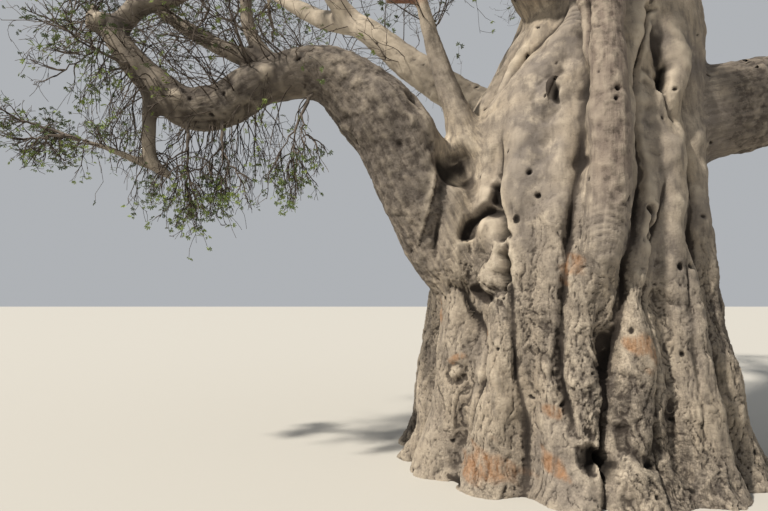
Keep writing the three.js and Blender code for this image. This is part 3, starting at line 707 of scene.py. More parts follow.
def lumpyTube(run, seed):
    rng = np.random.default_rng(seed)
    p = rng.uniform(0, 2 * math.pi, 4)
    sides = boughForm["sides"]
    angle = np.linspace(0, 2 * math.pi, sides, endpoint=False)[None, :]
    pace = (run["lengths"] / max(run["radii"].mean(), 0.05))[:, None]
    lumps = (np.sin(2 * angle + 0.5 * pace + p[0]) + 0.7 * np.sin(3 * angle - 0.8 * pace + p[1])
             + 0.8 * np.sin(0.9 * pace + p[2]) + 0.5 * np.sin(1.9 * pace + angle + p[3]))
    radius = run["radii"][:, None] * (boughForm["fill"] + boughForm["lumps"] * lumps * 0.7)
    ring = (run["points"][:, None] + run["across"][:, None] * (radius * np.cos(angle))[..., None]
            + run["side"][:, None] * (radius * np.sin(angle))[..., None])
    return ring.reshape(-1, 3), *ringFaces(len(run["points"]), sides)


def trunkTube():
    sides, levels = trunk["sides"], trunk["levels"]
    height = np.linspace(-trunk["below"], trunk["top"], levels)
    azimuth = np.arange(sides) * 360 / sides
    a, h = np.meshgrid(azimuth, height)
    low, high, amount = trunk["dome"]
    reach = trunkReach(a, np.maximum(h, 0)) * np.sqrt(1 - amount * ease(low, high, h) ** 2)
    x, _ = spineAt(np.maximum(h, 0))
    ring = np.stack([x + reach * np.sin(np.radians(a)), -reach * np.cos(np.radians(a)), h], -1)
    return ring.reshape(-1, 3), *ringFaces(levels, sides)


# What the skin covers: for each run the limb's samples and, for each sample, the node that it belongs to
runs = []
for limb in limbs:
    run = sampled(limb, count=None if len(limb.knots) > 2 else 6)
    owners = []
    for share in run["shares"]:
        owner = parentOf.get(limb.name, limb.name) if share < limb.collar else limb.name
        for name, stretch in stretches.items():
            if stretch.limb is limb and stretch.start <= share:
                owner = name
        owners.append(owner)
    runs.append({**run, "owners": owners})
for mass in masses:
    mass["tubes"] = [(mass["spur"], 0)] if "spur" in mass else []  # what of its chains is made with the twigs
    for chain in mass["chains"]:
        chain[0] = (chain[0][0], chain[0][1] * skin["shootFoot"])
        limb = Limb(mass["on"], [[*point, radius] for point, radius in chain])
        shares = np.linspace(0, 1, 21)
        thick = [s for s in shares if limb.radius(s) >= skin["thinnest"]]
        cut = thick[-1] if len(thick) > 1 else 0
        if cut:
            run = sampled(limb, 0, cut, skin["stemSamples"])
            runs.append({**run, "owners": [mass["on"]] * skin["stemSamples"], "stem": mass["name"]})
        if cut < 1:
            mass["tubes"].append((limb, max(cut - skin["overlap"], 0)))


def joined(parts):
    # Several meshes' points, corners and face sizes as one
    points, corners, sizes = [], [], []
    start = 0
    for p, c, s in parts:
        points.append(p)
        corners.append(c + start)
        sizes.append(s)
        start += len(p)
    return np.concatenate(points), np.concatenate(corners), np.concatenate(sizes)


def drawSkin():
    parts = [trunkTube()] + [lumpyTube(run, skin["lumpSeed"] + i) for i, run in enumerate(runs)]
    holder = addObject("woodBlank", meshFrom("woodBlank", *joined(parts)))
    remesh = holder.modifiers.new("skin", "REMESH")
    remesh.mode = "VOXEL"
    remesh.voxel_size = skin["cell"]
    remesh.use_smooth_shade = True
    return evaluated(holder)


nodeNames = ["trunk"] + sorted(stretches)


def nearestWood(points):
    # For each point: the node it lies on, the gaps to the nearest surface and to the next one, where it lies
    # on its limb as if that were straight, and the limb's radius there
    x, _ = spineAt(np.clip(points[:, 2], 0, trunk["top"]))
    across = points[:, 0] - x
    azimuth = np.degrees(np.arctan2(across, -points[:, 1]))
    away = np.hypot(across, points[:, 1])
    trunkGap = np.maximum(away - trunkReach(azimuth, np.clip(points[:, 2], 0, trunk["top"])),
                          points[:, 2] - trunk["top"])
    found = {
        "owner": np.zeros(len(points), int),
        "gap": trunkGap.copy(),
        "next": np.full(len(points), skin["farOff"]),
        "straight": np.zeros((len(points), 3)),
        "radius": away.copy(),
        "trunkGap": trunkGap,
        "azimuth": azimuth,
        "away": away,
    }
    for number, run in enumerate(runs):
        a, step = run["points"][:-1], np.diff(run["points"], axis=0)
        r, dr = run["radii"][:-1], np.diff(run["radii"])
        room = run["radii"].max() + skin["near"]
        low, high = run["points"].min(0) - room, run["points"].max(0) + room
        rows = np.flatnonzero(np.all((points > low) & (points < high), axis=1))
        owners = np.array([nodeNames.index(o) for o in run["owners"]])
        for part in np.array_split(rows, len(rows) // skin["atOnce"] + 1):
            offset = points[part][:, None] - a[None]
            share = np.clip((offset * step).sum(-1) / (step ** 2).sum(-1), 0, 1)
            gap = np.linalg.norm(offset - step * share[..., None], axis=-1) - r - dr * share
            at = gap.argmin(1)
            every = np.arange(len(part))
            gap = gap[every, at]
            nearer = gap < found["gap"][part]
            found["next"][part] = np.where(nearer, found["gap"][part], np.minimum(found["next"][part], gap))
            rowsIn, at, every = part[nearer], at[nearer], every[nearer]
            found["gap"][rowsIn] = gap[nearer]
            found["owner"][rowsIn] = owners[at]
            found["radius"][rowsIn] = r[at]
            off = points[rowsIn] - a[at]
            length = run["lengths"][at] + share[every, at] * np.diff(run["lengths"])[at]
            found["straight"][rowsIn] = np.stack(
                [(off * run["across"][at]).sum(1) + skin["apart"] * number,
                 (off * run["side"][at]).sum(1), length], 1)
    return found


def refine(mesh, wanted):
    # Splits the wanted faces in four
    work = bmesh.new()
    work.from_mesh(mesh)
    work.faces.ensure_lookup_table()
    edges = {edge for i in np.flatnonzero(wanted) for edge in work.faces[i].edges}
    bmesh.ops.subdivide_edges(work, edges=list(edges), cuts=1, use_grid_fill=True)
    work.to_mesh(mesh)
    work.free()
    mesh.update()


def settleTree():
    tree, start, end, identifiers = newTree("settleSkin", {"Rounds": "Int", "Bark": "Material"})
    weight = addNode(tree, "GeometryNodeInputNamedAttribute", {"Name": "settle"}, data_type="FLOAT")
    place = addNode(tree, "GeometryNodeInputPosition")
    blur = addNode(tree, "GeometryNodeBlurAttribute", {
        "Value": place, "Iterations": start.outputs["Rounds"], "Weight": weight}, data_type="FLOAT_VECTOR")
    moved = addNode(tree, "GeometryNodeSetPosition", {
        "Geometry": start.outputs["Geometry"], "Position": blur})
    endTree(tree, end, moved, start.outputs["Bark"])
    return tree, identifiers


woodMesh = drawSkin()
print("skin drawn:", len(woodMesh.polygons), "faces")
mid = threes(woodMesh.polygons, "center")
middleX, reach = skin["fineReach"]
allRound, inFront = skin["fineBelow"]
armFrom, armTo, armY, armHalf, armBelow = skin["fineArm"]
onFoot = (np.hypot(mid[:, 0] - middleX, mid[:, 1]) < reach) & (mid[:, 2] > -0.05)
onFoot &= (mid[:, 2] < allRound) | ((mid[:, 1] < 0.3) & (mid[:, 2] < inFront))
onArm = (mid[:, 0] < armTo) & (mid[:, 0] > armFrom) & (np.abs(mid[:, 1] - armY) < armHalf)
refine(woodMesh, onFoot | (onArm & (mid[:, 2] < armBelow)))
print("skin refined:", len(woodMesh.polygons), "faces")
place = pointsOf(woodMesh)
near = nearestWood(place)
fork = 1 - ease(0, skin["forkReach"], near["next"] - np.maximum(near["gap"], 0))
fork *= np.clip(near["radius"] / skin["forkGirth"], skin["forkLeast"], 1)
store(woodMesh, "settle", np.clip(fork + skin["everywhere"], 0, skin["most"]))
tree, identifiers = settleTree()
bark = bpy.data.materials.new("oldBaobabBark")  # its nodes come after the forms that they read
woodMesh = throughTree(addObject("woodSettling", woodMesh), tree, identifiers, {
    "Rounds": skin["settle"], "Bark": bark})
print("skin settled")


# The bark: forms with a place of their own, then the relief that repeats

# Places on the trunk are an azimuth in degrees from -Y towards +X, and a height. Knobs and hollows: azimuth,
# height, half width, half height, how far out (or in, below 0)
barkForms = {
    "knobs": [
        (-28.5, 3.80, 0.17, 0.21, 0.16), (-48.5, 1.93, 0.16, 0.17, 0.11), (-49.5, 2.40, 0.13, 0.17, 0.09),
        (-63.8, 0.30, 0.27, 0.30, 0.10), (-14, 0.95, 0.28, 0.35, 0.05), (-24, 0.45, 0.30, 0.45, 0.07),
        (12, 2.6, 0.16, 0.5, 0.05), (-38, 3.1, 0.25, 0.5, 0.04), (-57, 1.0, 0.07, 0.07, 0.03),
        (33, 0.5, 0.25, 0.4, 0.06), (-3, 0.25, 0.16, 0.22, 0.08), (120, 1.4, 0.3, 0.3, 0.1),
        (-150, 2.2, 0.22, 0.3, 0.1), (160, 0.8, 0.3, 0.35, 0.1),
    ],
    "hollows": [
        (-24.5, 3.73, 0.028, 0.075, -0.045), (-40.6, 2.03, 0.085, 0.25, -0.22),
        (-47.6, 2.80, 0.06, 0.17, -0.11), (5.5, 4.69, 0.10, 0.04, -0.12),
        (-12, 0.40, 0.09, 0.13, -0.14), (-7.5, 0.33, 0.07, 0.12, -0.12),
        (12.3, 2.38, 0.04, 0.17, -0.09), (23, 2.03, 0.035, 0.035, -0.05), (30, 2.04, 0.04, 0.03, -0.04),
        (-4.8, 3.63, 0.03, 0.03, -0.04), (-5.4, 3.53, 0.02, 0.025, -0.03), (20, 3.95, 0.06, 0.16, -0.10),
        (-33, 2.95, 0.03, 0.03, -0.04), (-29, 2.72, 0.03, 0.035, -0.04), (-36, 2.5, 0.025, 0.04, -0.04),
        (-50, 0.05, 0.10, 0.04, -0.05), (3, 0.34, 0.08, 0.03, -0.05),
        (110, 2.9, 0.10, 0.2, -0.16), (-135, 1.5, 0.08, 0.2, -0.15),
    ],
    # A crease is a sharp line in a broad valley between two swellings: the half width and the depth of each,
    # then the azimuths and heights that it runs through
    "creases": [
        (0.035, -0.10, 0.12, -0.08, (5.5, 4.9), (6.5, 4.3), (9.5, 3.53), (9.2, 2.93), (6.4, 2.36),
         (0.8, 1.81), (-4.5, 1.37), (-6.3, 0.86), (-8.0, 0.3), (-8.5, 0.0)),
        (0.03, -0.06, 0.11, -0.07, (-29, 4.9), (-22.5, 4.34), (-16.5, 3.65), (-15.5, 3.04), (-17, 2.4),
         (-19, 1.7), (-20, 1.0), (-16, 0.5)),
        (0.028, -0.05, 0.15, -0.05, (-48.5, 3.5), (-47.6, 3.15), (-45.5, 2.7), (-40.5, 2.3), (-36, 1.81),
         (-33.3, 1.26), (-30.8, 0.65), (-30, 0.0)),
        (0.03, -0.06, 0.13, -0.06, (19.8, 2.95), (14.1, 2.27), (10.4, 1.72), (10.8, 1.2), (9.2, 0.62),
         (6.5, 0.0)),
        (0.03, -0.06, 0.12, -0.04, (-66, 1.95), (-57.3, 1.78), (-52.1, 1.5), (-46.0, 1.25), (-45, 1.0),
         (-49.2, 0.58), (-52, 0.15)),
        (0.04, -0.07, 0.15, -0.07, (-40, 4.95), (-48.5, 4.57), (-57.5, 4.32), (-60.5, 4.0), (-61, 3.75)),
        (0.05, -0.06, 0.18, -0.09, (9.0, 4.7), (14.6, 4.32), (19.8, 3.94), (26, 3.55), (38, 3.4)),
        (0.025, -0.02, 0.14, -0.05, (33, 2.75), (27.7, 2.09), (25.6, 1.54), (23.4, 1.0), (21.7, 0.3)),
        (0.022, -0.03, 0.09, -0.03, (-19.5, 1.55), (-21, 1.02), (-17.3, 0.69), (-13.5, 0.45)),
        (0.025, -0.04, 0.11, -0.05, (-60, 3.2), (-60, 2.6), (-65, 2.0)),
        (0.025, -0.04, 0.14, -0.05, (38, 3.4), (38, 2.6), (36, 1.8), (38, 0.9), (37, 0.0)),
        (0.03, -0.05, 0.15, -0.06, (58, 3.2), (56, 2.0), (59, 0.8), (57, 0.0)),
    ],
    # A ridge: its half width, its height, and its path
    "ridges": [
        (0.17, 0.07, (14, 4.75), (24, 4.35), (32, 3.9), (41, 3.6)),
        (0.10, 0.05, (-54, 4.6), (-60, 4.45), (-68, 3.9)),
    ],
    # Folds that ring a knob or a scar: azimuth, height, half width, half height, from and to angle, depth
    "rings": [
        (-49.3, 2.40, 0.17, 0.24, -30, 200, -0.12), (2.3, 0.62, 0.17, 0.24, 165, 375, -0.05),
        (-48.5, 1.93, 0.17, 0.19, 200, 330, -0.05),
        (-57, 1.0, 0.09, 0.09, 0, 360, -0.02),
    ],
    # Bare patches where the bark is worn to orange-brown wood: azimuth, height, half width, half height
    "worn": [
        (-42, 0.22, 0.26, 0.13), (-21.5, 0.76, 0.09, 0.05), (-21.8, 0.30, 0.12, 0.09),
        (-16, 2.02, 0.10, 0.09), (3.5, 1.33, 0.13, 0.10), (8, 1.25, 0.07, 0.12),
        (-69, 1.62, 0.05, 0.14), (-47, 1.40, 0.05, 0.05),
        (-57, 1.15, 0.06, 0.04), (60, 1.1, 0.10, 0.12), (-110, 0.9, 0.12, 0.15),
    ],
}
# The same on the boughs, by a point in space: x, y, z, reach, how far out or in
boughForms = [
    (-1.36, -0.86, 3.16, 0.24, -0.20), (-1.72, -0.88, 3.90, 0.15, -0.14), (-1.62, -0.96, 3.58, 0.22, 0.09),
    (-2.05, -1.02, 3.05, 0.05, -0.05), (-1.80, -1.00, 2.72, 0.05, -0.05), (-2.22, -1.05, 3.55, 0.05, -0.04),
    (-1.95, -1.0, 3.3, 0.05, -0.05), (-3.35, -0.86, 4.12, 0.10, 0.04), (-4.30, -0.80, 3.86, 0.10, 0.05),
    (-5.15, -0.84, 4.72, 0.08, 0.05),
]
# Level wrinkles, on the column's foot and under the collars: azimuth, height, half width, half height, then
# how far apart and how deep
wrinkleBands = [(-6, 2.35, 0.34, 0.42, 0.071, 0.008), (-34, 4.72, 0.34, 0.24, 0.075, 0.012)]
formRule = {
    "trunkRadius": 1.6,  # turns degrees round the trunk into metres along it
    "freeEnd": 0.35,  # length over which a crease or a ridge runs out
    "atGround": 0.1,  # one that reaches below this height doesn't run out there
    "ragged": 0.16,  # how uneven the edges of hollows and patches are
    "knobFoot": 1.25,  # how far a knob runs out, on the trunk and on the boughs, in shares of its size
    "boughKnobFoot": 1.3,
    "hollowEdge": (0.35, 1.3),  # where the edges of hollows and patches run, in shares of their size
    "boughHollowEdge": (0.4, 1.1),
    "patchEdge": (0.6, 1.3),
    "ringWidth": 0.26,  # in shares of the ring's own size
    "ringEnds": 12,  # degrees over which a ring runs out
    "onTrunk": 0.45,  # what stands further than this off the ribs is no trunk
}
backCreases = {
    "seed": 5,
    "from": 76,
    "to": 285,
    "step": 19,
    "height": (2.2, 4.2),
    "knots": 5,
    "wander": 5,  # degrees to each side
    "line": (0.03, -0.03, -0.04),  # half width, depth, and how much deeper it can be
    "valley": (0.15, -0.06),
}


def alongPath(across, up, path):
    # Distance in the bark's plane to a path of places, and 1 along it that runs out towards its free ends
    distance, kept = np.full(len(up), skin["farOff"]), np.zeros(len(up))
    girth, freeEnd = formRule["trunkRadius"], formRule["freeEnd"]
    lengths = [math.hypot(math.radians(a1 - a0) * girth, z1 - z0)
               for (a0, z0), (a1, z1) in zip(path, path[1:])]
    total, gone = sum(lengths), 0.0
    for (a0, z0), (a1, z1), length in zip(path, path[1:], lengths):
        dx, dz = np.radians(a1 - a0) * girth, z1 - z0
        px, pz = np.radians((across - a0 + 180) % 360 - 180) * girth, up - z0
        t = np.clip((px * dx + pz * dz) / length ** 2, 0, 1)
        gap = np.hypot(px - t * dx, pz - t * dz)
        run = gone + t * length
        last = 1 if path[-1][1] < formRule["atGround"] else ease(0, freeEnd, total - run)
        share = ease(0, freeEnd, run) * last * (0.8 + 0.2 * np.sin(9 * run + 5 * total))
        kept = np.where(gap < distance, share, kept)
        distance = np.minimum(distance, gap)
        gone += length
    return distance, kept


def furrowsBehind():
    # The creases between the stems at the back, by a seeded rule
    rng = np.random.default_rng(backCreases["seed"])
    width, depth, deeper = backCreases["line"]
    found = []
    for azimuth in range(backCreases["from"], backCreases["to"], backCreases["step"]):
        heights = np.linspace(rng.uniform(*backCreases["height"]), 0, backCreases["knots"])
        places = [(azimuth + rng.uniform(-1, 1) * backCreases["wander"], float(height)) for height in heights]
        found.append((width, depth + deeper * rng.random(), *backCreases["valley"], *places))
    return found


def formBark(place, near):
    # How far each point moves out, and the masks for hollows and worn patches
    onTrunk = (near["owner"] == 0) & (near["trunkGap"] < formRule["onTrunk"])
    onTrunk = (onTrunk & (place[:, 2] < trunk["top"])).astype(float)
    azimuth, height, away = near["azimuth"], place[:, 2], near["away"]
    move = np.zeros(len(place))
    hollow = np.zeros(len(place))
    worn = np.zeros(len(place))
    ragged = formRule["ragged"] * (
        np.sin(31 * place[:, 0] + 17 * height) + np.sin(23 * place[:, 1] - 29 * height)
        + np.sin(41 * height + 19 * place[:, 0]))

    def spread(spec):
        across = np.radians((azimuth - spec[0] + 180) % 360 - 180) * away
        return np.hypot(across / spec[2], (height - spec[1]) / spec[3])

    for spec in barkForms["knobs"]:
        move += spec[4] * dome(spread(spec) / formRule["knobFoot"]) * onTrunk
    for spec in barkForms["hollows"]:
        deep = (1 - ease(*formRule["hollowEdge"], spread(spec) * (1 + 0.9 * ragged))) * onTrunk
        move += spec[4] * deep
        hollow = np.maximum(hollow, deep)
    for width, depth, broad, sunk, *path in barkForms["creases"] + furrowsBehind():
        gap, kept = alongPath(azimuth, height, path)
        gap = gap * (1 + 0.3 * ragged)
        line = np.exp(-(gap / width) ** 2) * kept * onTrunk
        move += depth * line + sunk * np.exp(-(gap / broad) ** 2) * kept * onTrunk
        hollow = np.maximum(hollow, 0.75 * ease(0.35, 0.95, line))
    for width, out, *path in barkForms["ridges"]:
        gap, kept = alongPath(azimuth, height, path)
        move += out * np.exp(-(gap / width) ** 2) * kept * onTrunk
    for spec in barkForms["rings"]:
        across = np.radians((azimuth - spec[0] + 180) % 360 - 180) * away / spec[2]
        up = (height - spec[1]) / spec[3]
        angle = (np.degrees(np.arctan2(up, across)) - spec[4]) % 360
        arc, end = spec[5] - spec[4], formRule["ringEnds"]
        inArc = ease(-1, end, angle) * (1 - ease(arc - end, arc + 1, angle))
        line = np.exp(-((np.hypot(across, up) - 1) / formRule["ringWidth"]) ** 2) * inArc * onTrunk
        move += spec[6] * line
        hollow = np.maximum(hollow, 0.8 * line * min(1, abs(spec[6]) * 9))
    for spec in barkForms["worn"]:
        patch = (1 - ease(*formRule["patchEdge"], spread(spec) * (1 + ragged))) * onTrunk
        worn = np.maximum(worn, patch)
    for x, y, z, reach, out in boughForms:
        distance = np.linalg.norm(place - np.array([x, y, z]), axis=1) / reach
        move += out * dome(distance / formRule["boughKnobFoot"])
        if out < 0:
            hollow = np.maximum(hollow, 1 - ease(*formRule["boughHollowEdge"], distance))
    for spec in wrinkleBands:
        bent = height + 0.05 * np.sin(9 * place[:, 0]) + 0.03 * np.sin(11 * height + 7 * place[:, 0])
        wave = np.abs(np.sin(math.pi * bent / spec[4] + 0.8 * np.sin(13 * place[:, 0])))
        move += spec[5] * (wave - 0.6) * dome(spread(spec)) * onTrunk
    return move, hollow, worn


relief = {
    "Crack Depth": 0.022,  # winding upright cracks on the lower trunk
    "Wrinkle Depth": 0.009,  # level wrinkles, and lumps of about 8 cm
    "Fold Depth": 0.036,  # upright folds about 24 cm wide
    "Grain Depth": 0.004,
    "Dimple Depth": 0.010,  # on the smooth bark above
    "Swell Depth": 0.045,  # all over the trunk, about 40 cm across
    "Streak Depth": 0.018,  # lengthwise folds on the boughs
    "Pit Depth": 0.026,
}
# Its patterns: how far they stray (the size in millimetres and the reach), how far each is drawn out, the
# pits' spacing in millimetres, the share of them that is there and where their edge runs, and the rounds of
# smoothing that tell what lies low
reliefForm = {
    "stray": (380, 0.34),
    "tall": (1, 1, 0.3),
    "squat": (1, 1, 2.2),
    "long": (1, 1, 0.2),
    "pitSpacing": 190,
    "pitShare": 0.30,
    "pitEdge": (0.20, 0.08),
    "lowRounds": {"cavity": 40, "groove": 6},
}


def reliefTree():
    inputs = {**{name: "Float" for name in relief}, "Bark": "Material"}
    tree, start, end, identifiers = newTree("barkRelief", inputs)
    depth = {name: start.outputs[name] for name in relief}
    by = {name: addNode(tree, "GeometryNodeInputNamedAttribute", {"Name": name},
                        data_type="FLOAT_VECTOR" if name == "straight" else "FLOAT")
          for name in ("rough", "onLimb", "girth", "still", "straight")}
    by["smooth"] = addNode(tree, "Math", {0: 1.0, 1: by["rough"]}, operation="SUBTRACT")
    by["trunk"] = addNode(tree, "Math", {0: 1.0, 1: by["onLimb"]}, operation="SUBTRACT")
    place = addNode(tree, "GeometryNodeInputPosition")
    size, reach = reliefForm["stray"]
    stray = addNode(tree, "TexNoise", {"Vector": place, "Scale": 1000 / size, "Detail": 2.0}).outputs["Color"]
    strayed = addNode(tree, "VectorMath", {0: stray, "Scale": reach}, operation="SCALE")
    bent = addNode(tree, "VectorMath", {0: place, 1: strayed}, operation="ADD")
    tall, squat, long = [
        addNode(tree, "VectorMath", {0: vector, 1: reliefForm[name]}, operation="MULTIPLY")
        for name, vector in (("tall", bent), ("squat", bent), ("long", by["straight"]))]
    # Each pattern's size is in millimetres: cracks and wrinkles are the lines where a noise passes its middle
    pattern = {}
    for name, vector, size, detail, distortion in (
            ("crack", tall, 200, 3.0, 1.0), ("wrinkle", squat, 170, 3.0, 0.8), ("lump", squat, 85, 3.0, 0.9),
            ("fold", tall, 240, 2.0, 0.0), ("grain", bent, 36, 2.0, 0.0), ("swell", bent, 420, 1.0, 0.0),
            ("dimple", bent, 160, 1.5, 0.0), ("streak", long, 110, 3.0, 0.0)):
        noise = addNode(tree, "TexNoise", {
            "Vector": vector, "Scale": 1000 / size, "Detail": detail, "Roughness": 0.55,
            "Distortion": distortion})
        pattern[name] = addNode(tree, "Math", {0: noise, 1: 0.5}, operation="SUBTRACT")
    for name, width in (("crack", 0.05), ("wrinkle", 0.06)):
        size = addNode(tree, "Math", {0: pattern[name]}, operation="ABSOLUTE")
        pattern[name] = addNode(tree, "MapRange", {0: size, 1: 0.0, 2: width, 3: -1.0, 4: 0.0})
    spacing, (outside, inside) = reliefForm["pitSpacing"], reliefForm["pitEdge"]
    pits = addNode(tree, "TexVoronoi", {"Vector": bent, "Scale": 1000 / spacing}, feature="F1")
    some = addNode(tree, "FunctionNodeSeparateColor", {0: pits.outputs["Color"]})
    chosen = addNode(tree, "Math", {0: some, 1: reliefForm["pitShare"]}, operation="LESS_THAN")
    pitted = addNode(tree, "MapRange", {
        "Value": pits.outputs["Distance"], 1: outside, 2: inside, 3: 0.0, 4: chosen},
        interpolation_type="SMOOTHSTEP")
    heights = []
    for name, label, size, where in (
            ("crack", "Crack Depth", 1.0, "rough"), ("wrinkle", "Wrinkle Depth", 1.0, "rough"),
            ("lump", "Wrinkle Depth", 2.2, "rough"), ("fold", "Fold Depth", 2.4, "rough"),
            ("grain", "Grain Depth", 2.0, "rough"), ("grain", "Grain Depth", 0.7, "smooth"),
            ("dimple", "Dimple Depth", 2.0, "smooth"), ("swell", "Swell Depth", 2.2, "trunk"),
            ("dimple", "Dimple Depth", 3.0, "onLimb"), ("lump", "Wrinkle Depth", 1.6, "onLimb"),
            ("streak", "Streak Depth", 2.4, "onLimb")):
        deep = addNode(tree, "Math", {0: depth[label], 1: size}, operation="MULTIPLY")
        height = addNode(tree, "Math", {0: pattern[name], 1: deep}, operation="MULTIPLY")
        heights.append(addNode(tree, "Math", {0: height, 1: by[where]}, operation="MULTIPLY"))
    total = addNode(tree, "Math", {0: pitted, 1: depth["Pit Depth"]}, operation="MULTIPLY")
    total = addNode(tree, "Math", {0: total, 1: -1.0}, operation="MULTIPLY")
    for height in heights:
        total = addNode(tree, "Math", {0: total, 1: height}, operation="ADD")
    for name in ("girth", "still"):
        total = addNode(tree, "Math", {0: total, 1: by[name]}, operation="MULTIPLY")
    geometry = start.outputs["Geometry"]
    for name, value in (("relief", total), ("pit", pitted)):
        geometry = addNode(tree, "GeometryNodeStoreNamedAttribute", {
            "Geometry": geometry, "Name": name, "Value": value}, data_type="FLOAT")
    normal = addNode(tree, "GeometryNodeInputNormal")
    offset = addNode(tree, "VectorMath", {0: normal, "Scale": total}, operation="SCALE")
    moved = addNode(tree, "GeometryNodeSetPosition", {"Geometry": geometry, "Offset": offset})
    # How far each point lies below its surroundings, widely and closely round it, where the bark's colour
    # gets painted shade
    for name, rounds in reliefForm["lowRounds"].items():
        settled = addNode(tree, "GeometryNodeBlurAttribute", {
            "Value": place, "Iterations": rounds}, data_type="FLOAT_VECTOR")
        apart = addNode(tree, "VectorMath", {0: settled, 1: place}, operation="SUBTRACT")
        below = addNode(tree, "VectorMath", {0: apart, 1: normal}, operation="DOT_PRODUCT").outputs["Value"]
        moved = addNode(tree, "GeometryNodeStoreNamedAttribute", {
            "Geometry": moved, "Name": name, "Value": below}, data_type="FLOAT")
    endTree(tree, end, moved, start.outputs["Bark"])
    return tree, identifiers


# Where each kind of bark is
barkPlaces = {
    "limbFrom": (0.03, 0.35),  # a limb's bark begins between these gaps from the trunk or its parent
    "offTrunk": 0.05,
    "smoothFrom": (1.5, 3.0),  # the old wrinkled bark turns smooth between these heights
    "column": (0.0, -1.4, 0.5),  # the smooth stem on the front: round which x and y, how far
    "columnFrom": (2.2, 3.0),
    "boughShadeFrom": (-2.3, -3.6),  # painted shade of the twigs: the left bough is darker past this x,
    "boughShadeBelow": 9,
    "stubAt": 0.62,  # the reddish break: where on its stem, how far off, and its reach
    "breakOff": (-0.2, 0, 0),
    "breakReach": (0.42, 0.3, 0.16),
    "fullGirth": 0.28,  # limbs thinner than this radius have a shallower relief, down to a share of
    "leastGirth": 0.12,
    "quiet": 0.75,  # how much the relief is held back in hollows
}
place = pointsOf(woodMesh)
near = nearestWood(place)
move, hollow, worn = formBark(place, near)
place = place + normalsOf(woodMesh) * move[:, None]
woodMesh.vertices.foreach_set("co", place.astype(np.float32).ravel())
woodMesh.update()
isLimb = (near["owner"] > 0) | (near["trunkGap"] > barkPlaces["offTrunk"])
onLimb = ease(*barkPlaces["limbFrom"], near["next"]) * isLimb
x, y, z = place.T
around = np.radians(near["azimuth"])
belly = z + 0.25 * np.sin(2.3 * around + 1) + 0.15 * np.sin(5.1 * around)
calm = np.sin(3.1 * x + 2.3 * z) * np.sin(2.7 * y - 1.9 * z + 1)
stubTip = stretches["crotch_stem"].at(barkPlaces["stubAt"])
fromBreak = (place - stubTip - np.array(barkPlaces["breakOff"])) / np.array(barkPlaces["breakReach"])
fromColumn = np.hypot(x - barkPlaces["column"][0], y - barkPlaces["column"][1])
for name, values in {
        "rough": (1 - ease(*barkPlaces["smoothFrom"], belly)) * (0.72 + 0.28 * calm) * (1 - 0.8 * onLimb),
        "onLimb": onLimb,
        "column": onLimb * (fromColumn < barkPlaces["column"][2]) * ease(*barkPlaces["columnFrom"], z),
        "darkBough": ease(*barkPlaces["boughShadeFrom"], x) * (z < barkPlaces["boughShadeBelow"]),
        "girth": np.clip(near["radius"] / barkPlaces["fullGirth"], barkPlaces["leastGirth"], 1),
        "still": 1 - barkPlaces["quiet"] * np.clip(hollow, 0, 1),
        "straight": near["straight"],
        "hollow": hollow,
        "worn": worn,
        "redWood": dome(np.linalg.norm(fromBreak, axis=1))}.items():
    store(woodMesh, name, values)
owner = near["owner"]
tree, identifiers = reliefTree()
woodMesh = throughTree(addObject("woodRelief", woodMesh), tree, identifiers, {**relief, "Bark": bark})
print("bark formed:", len(woodMesh.vertices), "points")


# The skin is cut into closed pieces, each standing for its nodes

woodPieces = {
    "trunk_foot_bark": ["trunk"],
    "trunk_waist_bark": ["trunk"],
    "trunk_belly_bark": ["trunk"],
    "trunk_shoulder_bark": ["trunk"],
    "trunk_fork_bark": ["trunk"],
    "left_boughs_bark": ["left_bough", "left_arm", "left_return", "left_drop", "left_drop_side", "left_slant",
                         "left_upright", "crotch_stem"],
    "front_boughs_bark": ["front_bough", "front_left_bough", "front_left_fork"],
    "right_boughs_bark": ["right_bough", "right_bough_front", "right_bough_rear"],
    "crown_left_boughs_bark": ["crown_left_bough", "crown_left_fork", "rear_left_bough", "rear_left_fork"],
    "crown_top_boughs_bark": ["crown_top_bough", "crown_top_fork", "crown_right_bough", "crown_right_fork"],
    "rear_boughs_bark": ["rear_bough", "rear_bough_fork", "rear_right_bough", "rear_right_fork"],
}
trunkCuts = (0.75, 1.6, 2.6, 3.9)  # heights between the trunk's pieces


def openEnds(corners, sizes):
    # The open edges of a set of faces, each against its face's direction
    ends = np.cumsum(sizes)
    after = np.arange(1, len(corners) + 1)
    after[ends - 1] = ends - sizes
    a, b = corners.astype(np.int64), corners[after].astype(np.int64)
    span = max(a.max(), b.max()) + 1
    lone = ~np.isin(a * span + b, b * span + a)
    return b[lone], a[lone]


def closed(points, corners, sizes):
    # Each open loop is closed by a fan to its own middle, inside the wood
    start, stop = openEnds(corners, sizes)
    following = {}
    for a, b in zip(start.tolist(), stop.tolist()):
        following.setdefault(a, []).append(b)
    added, fans = [], []
    while following:
        first = next(iter(following))
        loop = [first]
        here = first
        while here in following:
            onward = following[here].pop()
            if not following[here]:
                del following[here]
            here = onward
            if here == first:
                break
            loop.append(here)
        middle = len(points) + len(added)
        added.append(points[loop].mean(0))
        for a, b in zip(loop, loop[1:] + loop[:1]):
            fans += [a, b, middle]
    if not added:
        return points, corners, sizes
    return (np.concatenate([points, added]), np.concatenate([corners, np.array(fans, int)]),
            np.concatenate([sizes, np.full(len(fans) // 3, 3)]))


def cornersOf(mesh):
    corners = np.empty(len(mesh.loops), np.int32)
    mesh.loops.foreach_get("vertex_index", corners)
    sizes = np.empty(len(mesh.polygons), np.int32)
    mesh.polygons.foreach_get("loop_total", sizes)
    return corners, sizes


